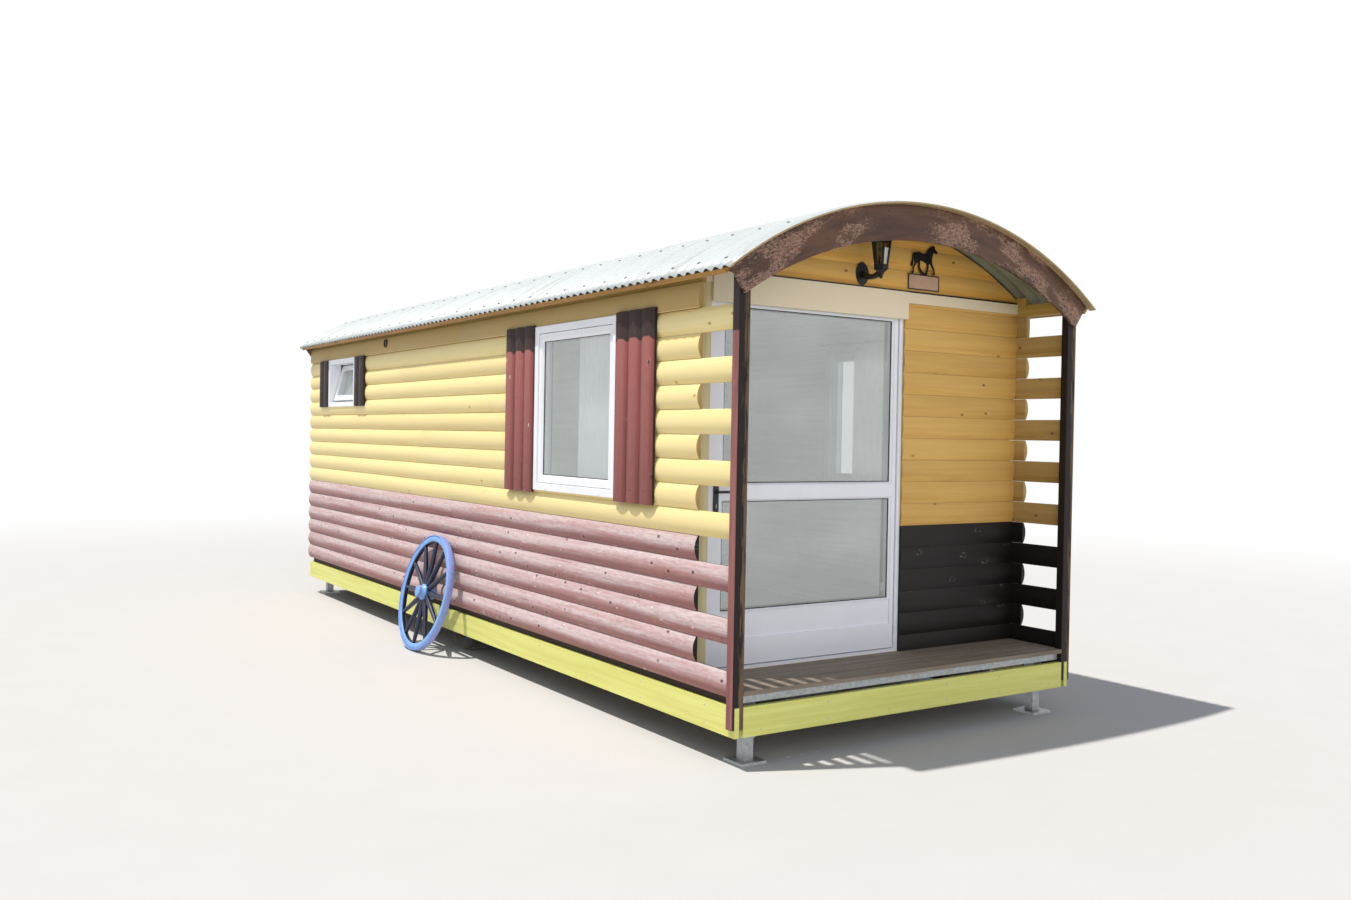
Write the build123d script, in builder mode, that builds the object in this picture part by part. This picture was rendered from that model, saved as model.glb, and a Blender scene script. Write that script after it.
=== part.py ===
"""Showman's living wagon with an open porch, half-log walls and a barrel roof.

Millimetres. Drawn with the centre plane at x = 0, the front of the porch posts at y = 0,
the ground at z = 0, and the rear with its drawbar towards +Y. The finished pieces are moved
so that the origin lies under the middle of the whole wagon.
"""
from build123d import *
from math import asin, atan2, cos, degrees, radians, sin, sqrt
import os

# Body: driving sizes
body_width = 2460  # over the crowns of the half-logs
body_length = 7000  # front of the posts to the crowns of the rear wall
ground_clearance = 155  # ground to the underside of the sill boards
sill_height = 145
board_thickness = 27  # sill boards
shadow_strip = 40  # plain strip between the sill boards and the first half-log

# Half-log cladding
log_pitch = 125.5
log_thickness = 45  # crown to flat back
log_bulge = 27  # crown to the seam between two half-logs
brown_courses = 6
course_count = 16
lining_thickness = 50  # stud wall and inner lining behind the half-logs

# Porch
porch_depth = 410  # front of the posts to the crowns of the front wall
short_log_end = 337  # every second half-log stops here, the others reach the post
post_width = 70
post_depth = 50
post_foot_gap = 40  # the posts stop this far above the underside of the sill boards
post_clearance = 5
floor_rise = 35  # underside of the first half-log to the top of the floor
floor_thickness = 22
porch_plank_count = 3
porch_plank_gap = 6

# Barrel roof
roof_radius = 2190  # underside of the sheets
eave_beam_height = 87  # last half-log to the underside of the sheets, over the crowns
eave_overhang = 95  # sheets past the crowns, measured level
roof_front_overhang = 57
roof_rear_overhang = 25
sheet_thickness = 2
wave_depth = 18
wave_count = 92
core_thickness = 60
eave_rail_height = 26
eave_rail_width = 34
eave_rail_inset = 3  # behind the edge of the sheets
porch_beam_height = 70  # beam over the right side of the porch
fascia_thickness = 15
fascia_depth = 185  # at the ridge
fascia_tightness = 30  # radius of the roof less that of the fascia's lower edge
fascia_overhang = 66  # past the crowns, measured level

# Chassis
rail_spacing = 1100
rail_width = 60
rail_height = 120
rail_wall = 6
bearer_width = 60
bearer_height = 40
bearer_count = 10
rim_joist_height = 120

# Axle and wheels
tyre_radius = 262.5
tyre_width = 195
tyre_shoulder = 22  # rim edge to the widest part of the tyre
tyre_belly = 45  # height of the widest part over the rim
rim_radius = 165
rim_wall = 8
rim_well = 14
disc_face = 28  # outer face of the wheel disc, from the middle of the wheel
disc_thickness = 8
hub_radius = 50
hub_reach = 46
hub_cap = 10
wheel_clearance = 22
axle_beam = 80
axle_lead = 150  # beam ahead of the wheel centres
arm_thickness = 40
stub_radius = 20
stub_end_gap = 6
running_gap = 0.05
wheel_box_wall = 15
wheel_box_room = 45  # around and above the tyre

# Drawbar
drawbar_length = 1080  # rail ends to the middle of the towing eye
drawbar_width = 60
drawbar_height = 80
drawbar_rise = 10  # above the underside of the rails
drawbar_slot_side = 18  # room in the rear sill board
drawbar_slot_gap = 6
coupling_plate = 20
coupling_width = 120
coupling_edge = 35  # plate above the middle of the eye
eye_shank = 15
eye_shank_radius = 13
eye_bore_radius = 20
eye_ring_radius = 45
eye_thickness = 30
eye_height = 400

# Corner steadies
steady_tube = 70
steady_wall = 6
steady_gap = 0.3
steady_inset = 100  # rim joist to the middle of a steady
steady_sleeve_drop = 35  # below the sill boards
steady_travel = 90
steady_head_room = 8
foot_size = 150
foot_thickness = 12

# Door unit, seen from the front
door_corner = 82  # wall between the left corner and the door frame
door_width = 1358
door_head_drop = 77  # last half-log to the top of the glass
door_set_back = 20
jamb_width = 25
threshold_height = 18
door_gap = 5
frame_depth = 70
leaf_depth = 60
lock_stile = 80
hinge_stile = 25
leaf_top_rail = 40
mid_rail_height = 887  # floor to its underside
mid_rail_depth = 72
panel_height = 297  # floor to the top of the lower panel
panel_recess = 10
glass_thickness = 24
hinge_radius = 9
hinge_pin_radius = 4.9
hinge_knuckle = 45
hinge_count = 3
hinge_plate = 4
hinge_set_out = 1
leaf_plate_width = 40
jamb_plate_width = 22
handle_rise = 40  # over the underside of the mid rail
handle_plate = (32, 145, 9)  # width, height, thickness
handle_plate_rise = 35
handle_neck = 36
lever_size = 18
lever_thickness = 14
lever_length = 115
shutter_box_rise = 77  # over the last half-log
band_height = 60
band_set_back = 10
shutter_box_proud = 22
gable_courses = 4

# Windows
window_front = 1117
window_width = 1000
window_height = 1010
window_head_drop = 103  # below the last half-log
window_frame = 45
window_sash = 50
window_proud = 8
window_sash_set_back = 8  # face of the frame to the face of the sash
window_sash_depth = 60
hopper_rear_gap = 615  # hopper window to the crowns of the rear wall
hopper_width = 765
hopper_height = 430
hopper_head_drop = 123
hopper_frame = 42
hopper_sash = 46
hopper_sash_depth = 55
hopper_tilt = 14
hopper_gap = 8  # under the sash
pivot_inset = 20
pivot_rise = 10
pin_radius = 4
pin_length = 20
pin_play = 2

# Shutter boards
shutter_board = 134
shutter_boards = 3
shutter_drop = 15  # below the window
shutter_rise = 10  # above the window
small_shutter_board = 125
small_shutter_boards = 2
shutter_bulge = 34
seat_gap = 0.3

# Curtains
curtain_thickness = 14
curtain_width = 640
curtain_wall_gap = 22
curtain_margin = 20  # inside the window's edges
rod_radius = 8
rod_rise = 20  # above the window
rod_overrun = 50
bracket_inset = 20
bracket_size = 12

# Lantern on the front gable
lantern_x = -75
lantern_rise = 152  # last half-log to the middle of the wall plate
lantern_reach = 150
lantern_plate = (97, 133, 6)  # width, height, thickness
lantern_arm_radius = 5
lantern_arm_sides = 8
lantern_arm_sag = 22
lantern_foot = 8  # middle of the wall plate to the foot of the cage
lantern_sides = 6
lantern_cage = (36, 54, 150)  # corner radius below and above, height
lantern_bar_radius = 3
lantern_ring = 5
lantern_roof = (16, 45)  # corner radius at its top, height
lantern_finial = (11, 6, 8)  # corner radius below and above, height
lantern_turning = ((32, 0), (29, 8), (12, 24), (7, 32), (10, 40), (5, 48), (0, 52))  # radius, drop

# Wooden cart wheel that leans on the left wall
cart_wheel_radius = 420
cart_rim_depth = 48
cart_rim_thickness = 46  # width of the iron band
cart_band = 6
felloe_inset = 4
cart_wheel_lean = 13
cart_wheel_y = 3620
cart_hub_radius = 58
cart_hub_end_radius = 40
cart_hub_length = 136
cart_hub_band = 24
cart_spokes = 12
cart_spoke_sides = 8
cart_spoke_foot = 18
cart_spoke_tip = 13

# Levels and planes worked out from the sizes above
crown = body_width / 2
log_back = crown - log_thickness
wall_inside = log_back - lining_thickness
clad_base = ground_clearance + sill_height + shadow_strip
clad_top = clad_base + course_count * log_pitch
colour_split = clad_base + brown_courses * log_pitch
floor_top = clad_base + floor_rise
floor_under = floor_top - floor_thickness
wall_thickness = log_thickness + lining_thickness
front_inside = porch_depth + wall_thickness
rear_inside = body_length - wall_thickness
roof_centre = clad_top + eave_beam_height - sqrt(roof_radius**2 - crown**2)
roof_apex = roof_centre + roof_radius
roof_half_width = crown + eave_overhang
log_radius = (log_pitch**2 / 4 + log_bulge**2) / (2 * log_bulge)
roof_angle = degrees(asin(roof_half_width / roof_radius))
bearer_under = floor_under - bearer_height
rail_top = bearer_under
rail_under = rail_top - rail_height
first_bearer = board_thickness + bearer_width / 2
last_bearer = body_length - log_thickness - bearer_width / 2
bearer_pitch = (last_bearer - first_bearer) / (bearer_count - 1)
axle_y = (first_bearer + last_bearer) / 2
wheel_x = wall_inside - wheel_clearance - tyre_width / 2
rail_end = body_length - log_thickness
sill_top = ground_clearance + sill_height
sill_face = log_back + board_thickness
door_left = door_corner - log_back
door_right = door_left + door_width
door_head = clad_top - door_head_drop
mid_rail_low = floor_top + mid_rail_height
mid_rail_high = mid_rail_low + mid_rail_depth
panel_top = floor_top + panel_height
shutter_box_top = clad_top + shutter_box_rise
window_face = -crown - window_proud
sash_face = window_face + window_sash_set_back
window_high = clad_top - window_head_drop
window_low = window_high - window_height
hopper_front = body_length - hopper_rear_gap - hopper_width
hopper_high = clad_top - hopper_head_drop
hopper_low = hopper_high - hopper_height


def across(y):
    """Upright plane that faces the front at a given y: sketch x is x, sketch y is the height."""
    return Plane(origin=(0, y, 0), x_dir=(1, 0, 0), z_dir=(0, -1, 0))


def along(x):
    """Upright plane that faces the right side: sketch x is y, sketch y is the height."""
    return Plane(origin=(x, 0, 0), x_dir=(0, 1, 0), z_dir=(1, 0, 0))


def block(x, y, z, mode=Mode.ADD):
    """A plain block from three (low, high) pairs."""
    with Locations((sum(x) / 2, sum(y) / 2, sum(z) / 2)):
        Box(x[1] - x[0], y[1] - y[0], z[1] - z[0], mode=mode)


def log_section(low, courses):
    """Section of half-logs one on another: sketch x is the depth in from the crowns."""
    high = low + courses * log_pitch
    with BuildSketch(Plane.XY) as section:
        with BuildLine():
            for course in range(courses):
                foot = low + course * log_pitch
                ThreePointArc((log_bulge, foot), (0, foot + log_pitch / 2), (log_bulge, foot + log_pitch))
            Polyline((log_bulge, high), (log_thickness, high), (log_thickness, low), (log_bulge, low))
        make_face()
    return section.sketch


def logs(low, courses, origin, inward, length):
    """Half-logs with their crowns through origin, their flat backs on the inward side."""
    facing = Vector(inward).cross(Vector(0, 0, 1))
    with BuildPart() as row:
        with BuildSketch(Plane(origin=origin, x_dir=inward, z_dir=facing)):
            add(log_section(low, courses))
        extrude(amount=length)
    return row.part


def under_roof(depth, front, back):
    """Everything inside the barrel of the roof, less depth, between two y values."""
    with BuildPart() as space:
        with BuildSketch(across(front)):
            with Locations((0, roof_centre)):
                Circle(roof_radius - depth)
        extrude(amount=front - back)
    return space.part


def side_wall(first, last, openings):
    """Left wall from one course to another; the odd half-logs run on to the porch post."""
    low = clad_base + first * log_pitch
    high = clad_base + last * log_pitch
    with BuildPart() as wall:
        add(logs(low, last - first, (-crown, body_length, 0), (1, 0, 0), body_length - short_log_end))
        for course in range(first, last, 2):
            foot = clad_base + course * log_pitch
            add(logs(foot, 1, (-crown, short_log_end, 0), (1, 0, 0), short_log_end - post_depth))
        block((-log_back, -wall_inside), (front_inside, rear_inside), (max(low, floor_top), high))
        for front, width, sill, head in openings:
            block((-crown, -wall_inside), (front, front + width), (sill, head), Mode.SUBTRACT)
    return wall.part


def end_wall(low, courses, y, inward, left, right, lining_low):
    """Part of an end wall between two x values, with its lining."""
    high = low + courses * log_pitch
    face = y + inward * log_thickness
    back = y + inward * wall_thickness
    start = left if inward > 0 else right
    with BuildPart() as wall:
        add(logs(low, courses, (start, y, 0), (0, inward, 0), right - left))
        block((left, right), sorted((face, back)), (lining_low, high))
    return wall.part


def window(front, width, low, high, frame, sash):
    """Window in the left wall: an outer frame, and a fixed sash where its width isn't 0."""
    with BuildPart() as unit:
        block((window_face, -wall_inside), (front, front + width), (low, high))
        inner_y = (front + frame, front + width - frame)
        inner_z = (low + frame, high - frame)
        block((window_face, -wall_inside), inner_y, inner_z, Mode.SUBTRACT)
        if sash:
            block((sash_face, sash_face + window_sash_depth), inner_y, inner_z)
            pane_y = (inner_y[0] + sash, inner_y[1] - sash)
            pane_z = (inner_z[0] + sash, inner_z[1] - sash)
            block((window_face, -wall_inside), pane_y, pane_z, Mode.SUBTRACT)
    return unit.part


def shutter_rows(starts, boards, width, low, high):
    """Upright half-round boards on the crowns of the left wall, one group for each start."""
    back = -crown - seat_gap
    with BuildPart() as rows:
        for start in starts:
            with BuildSketch(Plane.XY.offset(low)):
                with BuildLine():
                    for board in range(boards):
                        edge = start + board * width
                        ThreePointArc(
                            (back - shutter_bulge / 2, edge),
                            (back - shutter_bulge, edge + width / 2),
                            (back - shutter_bulge / 2, edge + width),
                        )
                    end = start + boards * width
                    Polyline(
                        (back - shutter_bulge / 2, end), (back, end), (back, start),
                        (back - shutter_bulge / 2, start),
                    )
                make_face()
            extrude(amount=high - low)
    return rows.part


def mirrored(piece):
    """The same piece on the right side."""
    return mirror(piece, about=Plane.YZ, mode=Mode.PRIVATE)


def pair(piece):
    """The piece and its mirror image, as two solids that don't touch."""
    with BuildPart() as both:
        add(piece)
        mirror(piece, about=Plane.YZ)
    return both.part


pieces = {}

# Chassis
rail_x = rail_spacing / 2
with BuildPart() as chassis_rails:
    for side in (-1, 1):
        block(
            (side * rail_x - rail_width / 2, side * rail_x + rail_width / 2),
            (board_thickness, rail_end), (rail_under, rail_top),
        )
        web = side * (rail_x - rail_wall)
        block(
            (web - rail_width / 2, web + rail_width / 2),
            (board_thickness, rail_end), (rail_under + rail_wall, rail_top - rail_wall), Mode.SUBTRACT,
        )
pieces["chassis_rails"] = chassis_rails.part

rim_inside = crown - post_width - post_clearance
with BuildPart() as floor_bearers:
    for number in range(bearer_count):
        middle = first_bearer + number * bearer_pitch
        block(
            (-rim_inside, rim_inside),
            (middle - bearer_width / 2, middle + bearer_width / 2), (bearer_under, floor_under),
        )
pieces["floor_bearers"] = floor_bearers.part

with BuildPart() as rim_joist:
    block((-log_back, -rim_inside), (post_depth, rail_end), (floor_under - rim_joist_height, floor_under))
pieces["rim_joists"] = pair(rim_joist.part)

eye_y = rail_end + drawbar_length
drawbar_low = rail_under + drawbar_rise
drawbar_apex = eye_y - eye_ring_radius - eye_shank - coupling_plate
slope = rail_x / (drawbar_apex - rail_end)
half_cut = drawbar_width / 2 * sqrt(1 + slope**2)
with BuildPart() as drawbar:
    with BuildSketch(Plane.XY.offset(drawbar_low)):
        with BuildLine():
            Polyline(
                (-rail_x - half_cut, rail_end), (-half_cut, drawbar_apex), (half_cut, drawbar_apex),
                (rail_x + half_cut, rail_end), (rail_x - half_cut, rail_end),
                (0, rail_end + (rail_x - half_cut) / slope), (half_cut - rail_x, rail_end), close=True,
            )
        make_face()
    extrude(amount=drawbar_height)
pieces["drawbar"] = drawbar.part

plate_back = drawbar_apex + coupling_plate
with BuildPart() as tow_eye:
    block(
        (-coupling_width / 2, coupling_width / 2), (drawbar_apex, plate_back),
        (rail_under, eye_height + coupling_edge),
    )
    with BuildSketch(across(plate_back)):
        with Locations((0, eye_height)):
            Circle(eye_shank_radius)
    extrude(amount=plate_back - eye_y)
    with Locations((0, eye_y, eye_height)):
        Cylinder(eye_ring_radius, eye_thickness)
        Cylinder(eye_bore_radius, eye_thickness, mode=Mode.SUBTRACT)
pieces["tow_eye"] = tow_eye.part

# Axle with its trailing arms and stubs
arm_outside = wheel_x - tyre_width / 2 - wheel_clearance
arm_inside = arm_outside - arm_thickness
beam_y = axle_y - axle_lead
beam_z = rail_under - axle_beam / 2
arm_rise = tyre_radius - beam_z
stub_end = wheel_x + hub_reach - hub_cap - stub_end_gap
with BuildPart() as axle:
    block(
        (-arm_inside, arm_inside),
        (beam_y - axle_beam / 2, beam_y + axle_beam / 2), (rail_under - axle_beam, rail_under),
    )
    with BuildSketch(along(arm_inside)):
        with Locations(Location((axle_y - axle_lead / 2, beam_z + arm_rise / 2))):
            SlotCenterToCenter(
                sqrt(axle_lead**2 + arm_rise**2), axle_beam,
                rotation=degrees(atan2(arm_rise, axle_lead)),
            )
    arm = extrude(amount=arm_thickness)
    mirror(arm, about=Plane.YZ)
    with BuildSketch(along(arm_outside)):
        with Locations((axle_y, tyre_radius)):
            Circle(stub_radius)
    stub = extrude(amount=stub_end - arm_outside)
    mirror(stub, about=Plane.YZ)
pieces["axle"] = axle.part

steady_x = rim_inside - steady_inset
steady_ys = (
    first_bearer + bearer_width / 2 + steady_tube / 2,
    last_bearer - bearer_width / 2 - steady_tube / 2,
)
with BuildPart() as sleeves:
    for side in (-1, 1):
        for steady_y in steady_ys:
            half = steady_tube / 2
            hole = half - steady_wall
            x = side * steady_x
            levels = (ground_clearance - steady_sleeve_drop, floor_under)
            block((x - half, x + half), (steady_y - half, steady_y + half), levels)
            block((x - hole, x + hole), (steady_y - hole, steady_y + hole), levels, Mode.SUBTRACT)
pieces["steady_sleeves"] = sleeves.part

steady_half = steady_tube / 2 - steady_wall - steady_gap
steady_leg_top = floor_under - steady_travel - steady_head_room
for place, side, steady_y in (
    ("front_left", -1, steady_ys[0]), ("front_right", 1, steady_ys[0]),
    ("rear_left", -1, steady_ys[1]), ("rear_right", 1, steady_ys[1]),
):
    x = side * steady_x
    with BuildPart() as steady:
        block(
            (x - steady_half, x + steady_half),
            (steady_y - steady_half, steady_y + steady_half), (foot_thickness, steady_leg_top),
        )
        block(
            (x - foot_size / 2, x + foot_size / 2),
            (steady_y - foot_size / 2, steady_y + foot_size / 2), (0, foot_thickness),
        )
    pieces["steady_" + place] = steady.part

# Road wheels
half_tyre = tyre_width / 2
rim_half = half_tyre - tyre_shoulder
widest = rim_radius + tyre_belly
disc_back = disc_face - disc_thickness
well = rim_radius - rim_well
bore = stub_radius + running_gap
for place, side in (("left", -1), ("right", 1)):
    middle = side * wheel_x
    hub_axis = Axis((middle, axle_y, tyre_radius), (1, 0, 0))
    wheel_plane = Plane(origin=(middle, axle_y, tyre_radius), x_dir=(side, 0, 0), z_dir=(0, -side, 0))
    with BuildPart() as tyre:
        with BuildSketch(wheel_plane):
            with BuildLine():
                Polyline(
                    (-rim_half, rim_radius), (rim_half, rim_radius), (half_tyre, widest),
                    (rim_half, tyre_radius), (-rim_half, tyre_radius), (-half_tyre, widest), close=True,
                )
            make_face()
        revolve(axis=hub_axis)
    pieces["tyre_" + place] = tyre.part
    with BuildPart() as rim:
        with BuildSketch(wheel_plane):
            with BuildLine():
                Polyline(
                    (-rim_half, rim_radius), (rim_half, rim_radius), (rim_half, rim_radius - rim_wall),
                    (disc_face, well), (disc_face, hub_radius), (hub_reach, hub_radius), (hub_reach, 0),
                    (hub_reach - hub_cap, 0), (hub_reach - hub_cap, bore),
                    (-hub_reach, bore), (-hub_reach, hub_radius), (disc_back, hub_radius),
                    (disc_back, well), (-rim_half, rim_radius - rim_wall), close=True,
                )
            make_face()
        revolve(axis=hub_axis)
    pieces["rim_" + place] = rim.part

# Floors, sill boards and porch
well_inside = arm_outside
well_half = tyre_radius + wheel_box_room
with BuildPart() as floor_panel:
    block((-log_back, log_back), (porch_depth, rail_end), (floor_under, floor_top))
    for side in (-1, 1):
        xs = sorted((side * well_inside, side * wall_inside))
        block(xs, (axle_y - well_half, axle_y + well_half), (floor_under, floor_top), Mode.SUBTRACT)
pieces["floor_panel"] = floor_panel.part

box_top = 2 * tyre_radius + wheel_box_room
with BuildPart() as wheel_boxes:
    block(
        (well_inside - wheel_box_wall, wall_inside),
        (axle_y - well_half - wheel_box_wall, axle_y + well_half + wheel_box_wall),
        (floor_top, box_top + wheel_box_wall),
    )
    block(
        (well_inside, wall_inside),
        (axle_y - well_half, axle_y + well_half), (floor_top, box_top), Mode.SUBTRACT,
    )
pieces["wheel_boxes"] = pair(wheel_boxes.part)

plank_width = (porch_depth - (porch_plank_count - 1) * porch_plank_gap) / porch_plank_count
with BuildPart() as porch_planks:
    for number in range(porch_plank_count):
        start = number * (plank_width + porch_plank_gap)
        block((-log_back, log_back), (start, start + plank_width), (floor_under, floor_top))
    for side in (-1, 1):
        xs = sorted((side * log_back, side * (crown - post_width)))
        block(xs, (0, post_depth), (floor_under, floor_top), Mode.SUBTRACT)
pieces["porch_planks"] = porch_planks.part

sill_levels = (ground_clearance, sill_top)
with BuildPart() as sill_left:
    block((-sill_face, -log_back), (0, rail_end), sill_levels)
pieces["sill_sides"] = pair(sill_left.part)
with BuildPart() as sill_front:
    block((post_width - crown, crown - post_width), (0, board_thickness), sill_levels)
pieces["sill_front"] = sill_front.part
with BuildPart() as sill_rear:
    block((-sill_face, sill_face), (rail_end, rail_end + board_thickness), sill_levels)
    for side in (-1, 1):
        middle = side * (rail_x - board_thickness * slope / 2)
        slot = half_cut + drawbar_slot_side
        block(
            (middle - slot, middle + slot), (rail_end, rail_end + board_thickness),
            (drawbar_low - drawbar_slot_gap, drawbar_low + drawbar_height + drawbar_slot_gap),
            Mode.SUBTRACT,
        )
pieces["sill_rear"] = sill_rear.part

post_top = roof_centre + sqrt(roof_radius**2 - crown**2)
with BuildPart() as posts:
    block((-crown, post_width - crown), (0, post_depth), (ground_clearance + post_foot_gap, post_top))
    block((-sill_face, -log_back), (0, post_depth), sill_levels, Mode.SUBTRACT)
pieces["porch_posts"] = pair(posts.part)

# Walls
large_window = (window_front, window_width, window_low, window_high)
hopper_window = (hopper_front, hopper_width, hopper_low, hopper_high)
pieces["wall_left_lower"] = side_wall(0, brown_courses, [])
pieces["wall_left_upper"] = side_wall(brown_courses, course_count, [large_window, hopper_window])
pieces["wall_right_lower"] = mirrored(side_wall(0, brown_courses, []))
pieces["wall_right_upper"] = mirrored(side_wall(brown_courses, course_count, [large_window]))
pieces["wall_rear_lower"] = end_wall(
    clad_base, brown_courses, body_length, -1, -log_back, log_back, floor_top
)
with BuildPart() as wall_rear_upper:
    add(end_wall(
        colour_split, course_count - brown_courses + gable_courses, body_length, -1,
        -log_back, log_back, colour_split,
    ))
    add(under_roof(0, rear_inside, body_length), mode=Mode.INTERSECT)
pieces["wall_rear_upper"] = wall_rear_upper.part

band_low = shutter_box_top - band_height
front_spans = ((-log_back, door_left), (door_right, log_back))
with BuildPart() as wall_front_lower:
    for left, right in front_spans:
        add(end_wall(clad_base, brown_courses, porch_depth, 1, left, right, floor_top))
        block((left, right), (porch_depth, front_inside), (clad_base, floor_top), Mode.SUBTRACT)
pieces["wall_front_lower"] = wall_front_lower.part
with BuildPart() as wall_front_upper:
    for left, right in front_spans:
        add(end_wall(
            colour_split, course_count - brown_courses + 1, porch_depth, 1, left, right, colour_split
        ))
        block((left, right), (porch_depth, front_inside), (band_low, roof_apex), Mode.SUBTRACT)
pieces["wall_front_upper"] = wall_front_upper.part
with BuildPart() as gable_front:
    add(end_wall(shutter_box_top, gable_courses, porch_depth, 1, -log_back, log_back, shutter_box_top))
    add(under_roof(0, porch_depth, front_inside), mode=Mode.INTERSECT)
pieces["gable_front"] = gable_front.part

# Door unit
head_low = door_head + leaf_top_rail + door_gap
head_high = head_low + jamb_width
frame_front = porch_depth + door_set_back
frame_back = frame_front + frame_depth
with BuildPart() as door_frame:
    block((door_left, door_right), (frame_front, frame_back), (floor_top, head_high))
    block(
        (door_left + jamb_width, door_right - jamb_width),
        (frame_front, frame_back), (floor_top + threshold_height, head_low), Mode.SUBTRACT,
    )
pieces["door_frame"] = door_frame.part

box_face = porch_depth - shutter_box_proud
with BuildPart() as shutter_box:
    block((door_left, door_right), (box_face, frame_front), (door_head, shutter_box_top))
    block((door_left, door_right), (frame_front, front_inside), (head_high, shutter_box_top))
    for left, right in front_spans:
        block((left, right), (box_face + band_set_back, front_inside), (band_low, shutter_box_top))
pieces["shutter_box"] = shutter_box.part

leaf_left = door_left + jamb_width + door_gap
leaf_right = door_right - jamb_width - door_gap
leaf_low = floor_top + threshold_height + door_gap
leaf_high = door_head + leaf_top_rail
leaf_front = frame_back - leaf_depth
glass_left = leaf_left + lock_stile
glass_right = leaf_right - hinge_stile
glass_middle = (leaf_front + frame_back) / 2
hinge_x = leaf_right + door_gap / 2
hinge_y = frame_back + hinge_radius + hinge_set_out
hinge_heights = [
    leaf_low + (leaf_high - leaf_low) * (number + 0.5) / hinge_count for number in range(hinge_count)
]
with BuildPart() as door_leaf:
    block((leaf_left, leaf_right), (leaf_front, frame_back), (leaf_low, leaf_high))
    for low, high in ((mid_rail_high, door_head), (panel_top, mid_rail_low)):
        block((glass_left, glass_right), (leaf_front, frame_back), (low, high), Mode.SUBTRACT)
    block(
        (glass_left, glass_right), (leaf_front, leaf_front + panel_recess),
        ((panel_top + leaf_low) / 2, panel_top), Mode.SUBTRACT,
    )
    for height in hinge_heights:
        with Locations((hinge_x, hinge_y, height + hinge_knuckle / 2 + seat_gap)):
            Cylinder(hinge_radius, hinge_knuckle)
        block(
            (hinge_x - leaf_plate_width, hinge_x), (frame_back, frame_back + hinge_plate),
            (height + seat_gap, height + hinge_knuckle),
        )
        with Locations((hinge_x, hinge_y, height + hinge_knuckle / 2 + seat_gap)):
            Cylinder(hinge_pin_radius + running_gap, hinge_knuckle, mode=Mode.SUBTRACT)
pieces["door_leaf"] = door_leaf.part

with BuildPart() as door_hinges:
    for height in hinge_heights:
        with Locations((hinge_x, hinge_y, height - hinge_knuckle / 2)):
            Cylinder(hinge_radius, hinge_knuckle)
        with Locations((hinge_x, hinge_y, height + hinge_knuckle / 2)):
            Cylinder(hinge_pin_radius, hinge_knuckle)
        block(
            (hinge_x + door_gap / 2, hinge_x + jamb_plate_width), (frame_back, frame_back + hinge_plate),
            (height - hinge_knuckle, height),
        )
pieces["door_hinges"] = door_hinges.part

with BuildPart() as door_glass:
    for low, high in ((mid_rail_high, door_head), (panel_top, mid_rail_low)):
        block(
            (glass_left, glass_right),
            (glass_middle - glass_thickness / 2, glass_middle + glass_thickness / 2), (low, high),
        )
pieces["door_glass"] = door_glass.part

handle_x = leaf_left + lock_stile / 2
handle_height = mid_rail_low + handle_rise
plate_width, plate_height, plate_depth = handle_plate
plate_front = leaf_front - plate_depth
lever_half = lever_size / 2
lever_levels = (handle_height - lever_half, handle_height + lever_half)
lever_front = plate_front - handle_neck
with BuildPart() as door_handle:
    block(
        (handle_x - plate_width / 2, handle_x + plate_width / 2), (plate_front, leaf_front),
        (handle_height + handle_plate_rise - plate_height, handle_height + handle_plate_rise),
    )
    block((handle_x - lever_half, handle_x + lever_half), (lever_front, plate_front), lever_levels)
    block(
        (handle_x - lever_half, handle_x + lever_length),
        (lever_front, lever_front + lever_thickness), lever_levels,
    )
pieces["door_handle"] = door_handle.part

# Windows
pieces["window_frame_left"] = window(*large_window, window_frame, window_sash)
pieces["window_frame_right"] = mirrored(pieces["window_frame_left"])
pane_inset = window_frame + window_sash
pane_x = sash_face + window_sash_depth / 2
with BuildPart() as window_glass:
    block(
        (pane_x - glass_thickness / 2, pane_x + glass_thickness / 2),
        (window_front + pane_inset, window_front + window_width - pane_inset),
        (window_low + pane_inset, window_high - pane_inset),
    )
pieces["window_glass"] = pair(window_glass.part)

pivot_x = -wall_inside - pivot_inset
pivot_z = hopper_low + hopper_frame + hopper_gap + pivot_rise
with BuildPart() as hopper_frame_unit:
    add(window(*hopper_window, hopper_frame, 0))
    for edge, way in ((hopper_front + hopper_frame, 1), (hopper_front + hopper_width - hopper_frame, -1)):
        with BuildSketch(across(edge)):
            with Locations((pivot_x, pivot_z)):
                Circle(pin_radius)
        extrude(amount=-way * pin_length)
pieces["hopper_frame"] = hopper_frame_unit.part

sash_y = (hopper_front + hopper_frame + door_gap, hopper_front + hopper_width - hopper_frame - door_gap)
sash_z = (hopper_low + hopper_frame + hopper_gap, hopper_high - hopper_frame - door_gap)
sash_x = (pivot_x - hopper_sash_depth + pivot_rise, pivot_x + pivot_rise)
hopper_pane_y = (sash_y[0] + hopper_sash, sash_y[1] - hopper_sash)
hopper_pane_z = (sash_z[0] + hopper_sash, sash_z[1] - hopper_sash)
pivot = Axis((pivot_x, 0, pivot_z), (0, 1, 0))
with BuildPart() as hopper_sash_unit:
    block(sash_x, sash_y, sash_z)
    block(sash_x, hopper_pane_y, hopper_pane_z, Mode.SUBTRACT)
    for edge, way in ((sash_y[0], 1), (sash_y[1], -1)):
        with BuildSketch(across(edge)):
            with Locations((pivot_x, pivot_z)):
                Circle(pin_radius + running_gap)
        extrude(amount=-way * (pin_length - door_gap + pin_play), mode=Mode.SUBTRACT)
pieces["hopper_sash"] = hopper_sash_unit.part.rotate(pivot, hopper_tilt)
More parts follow.
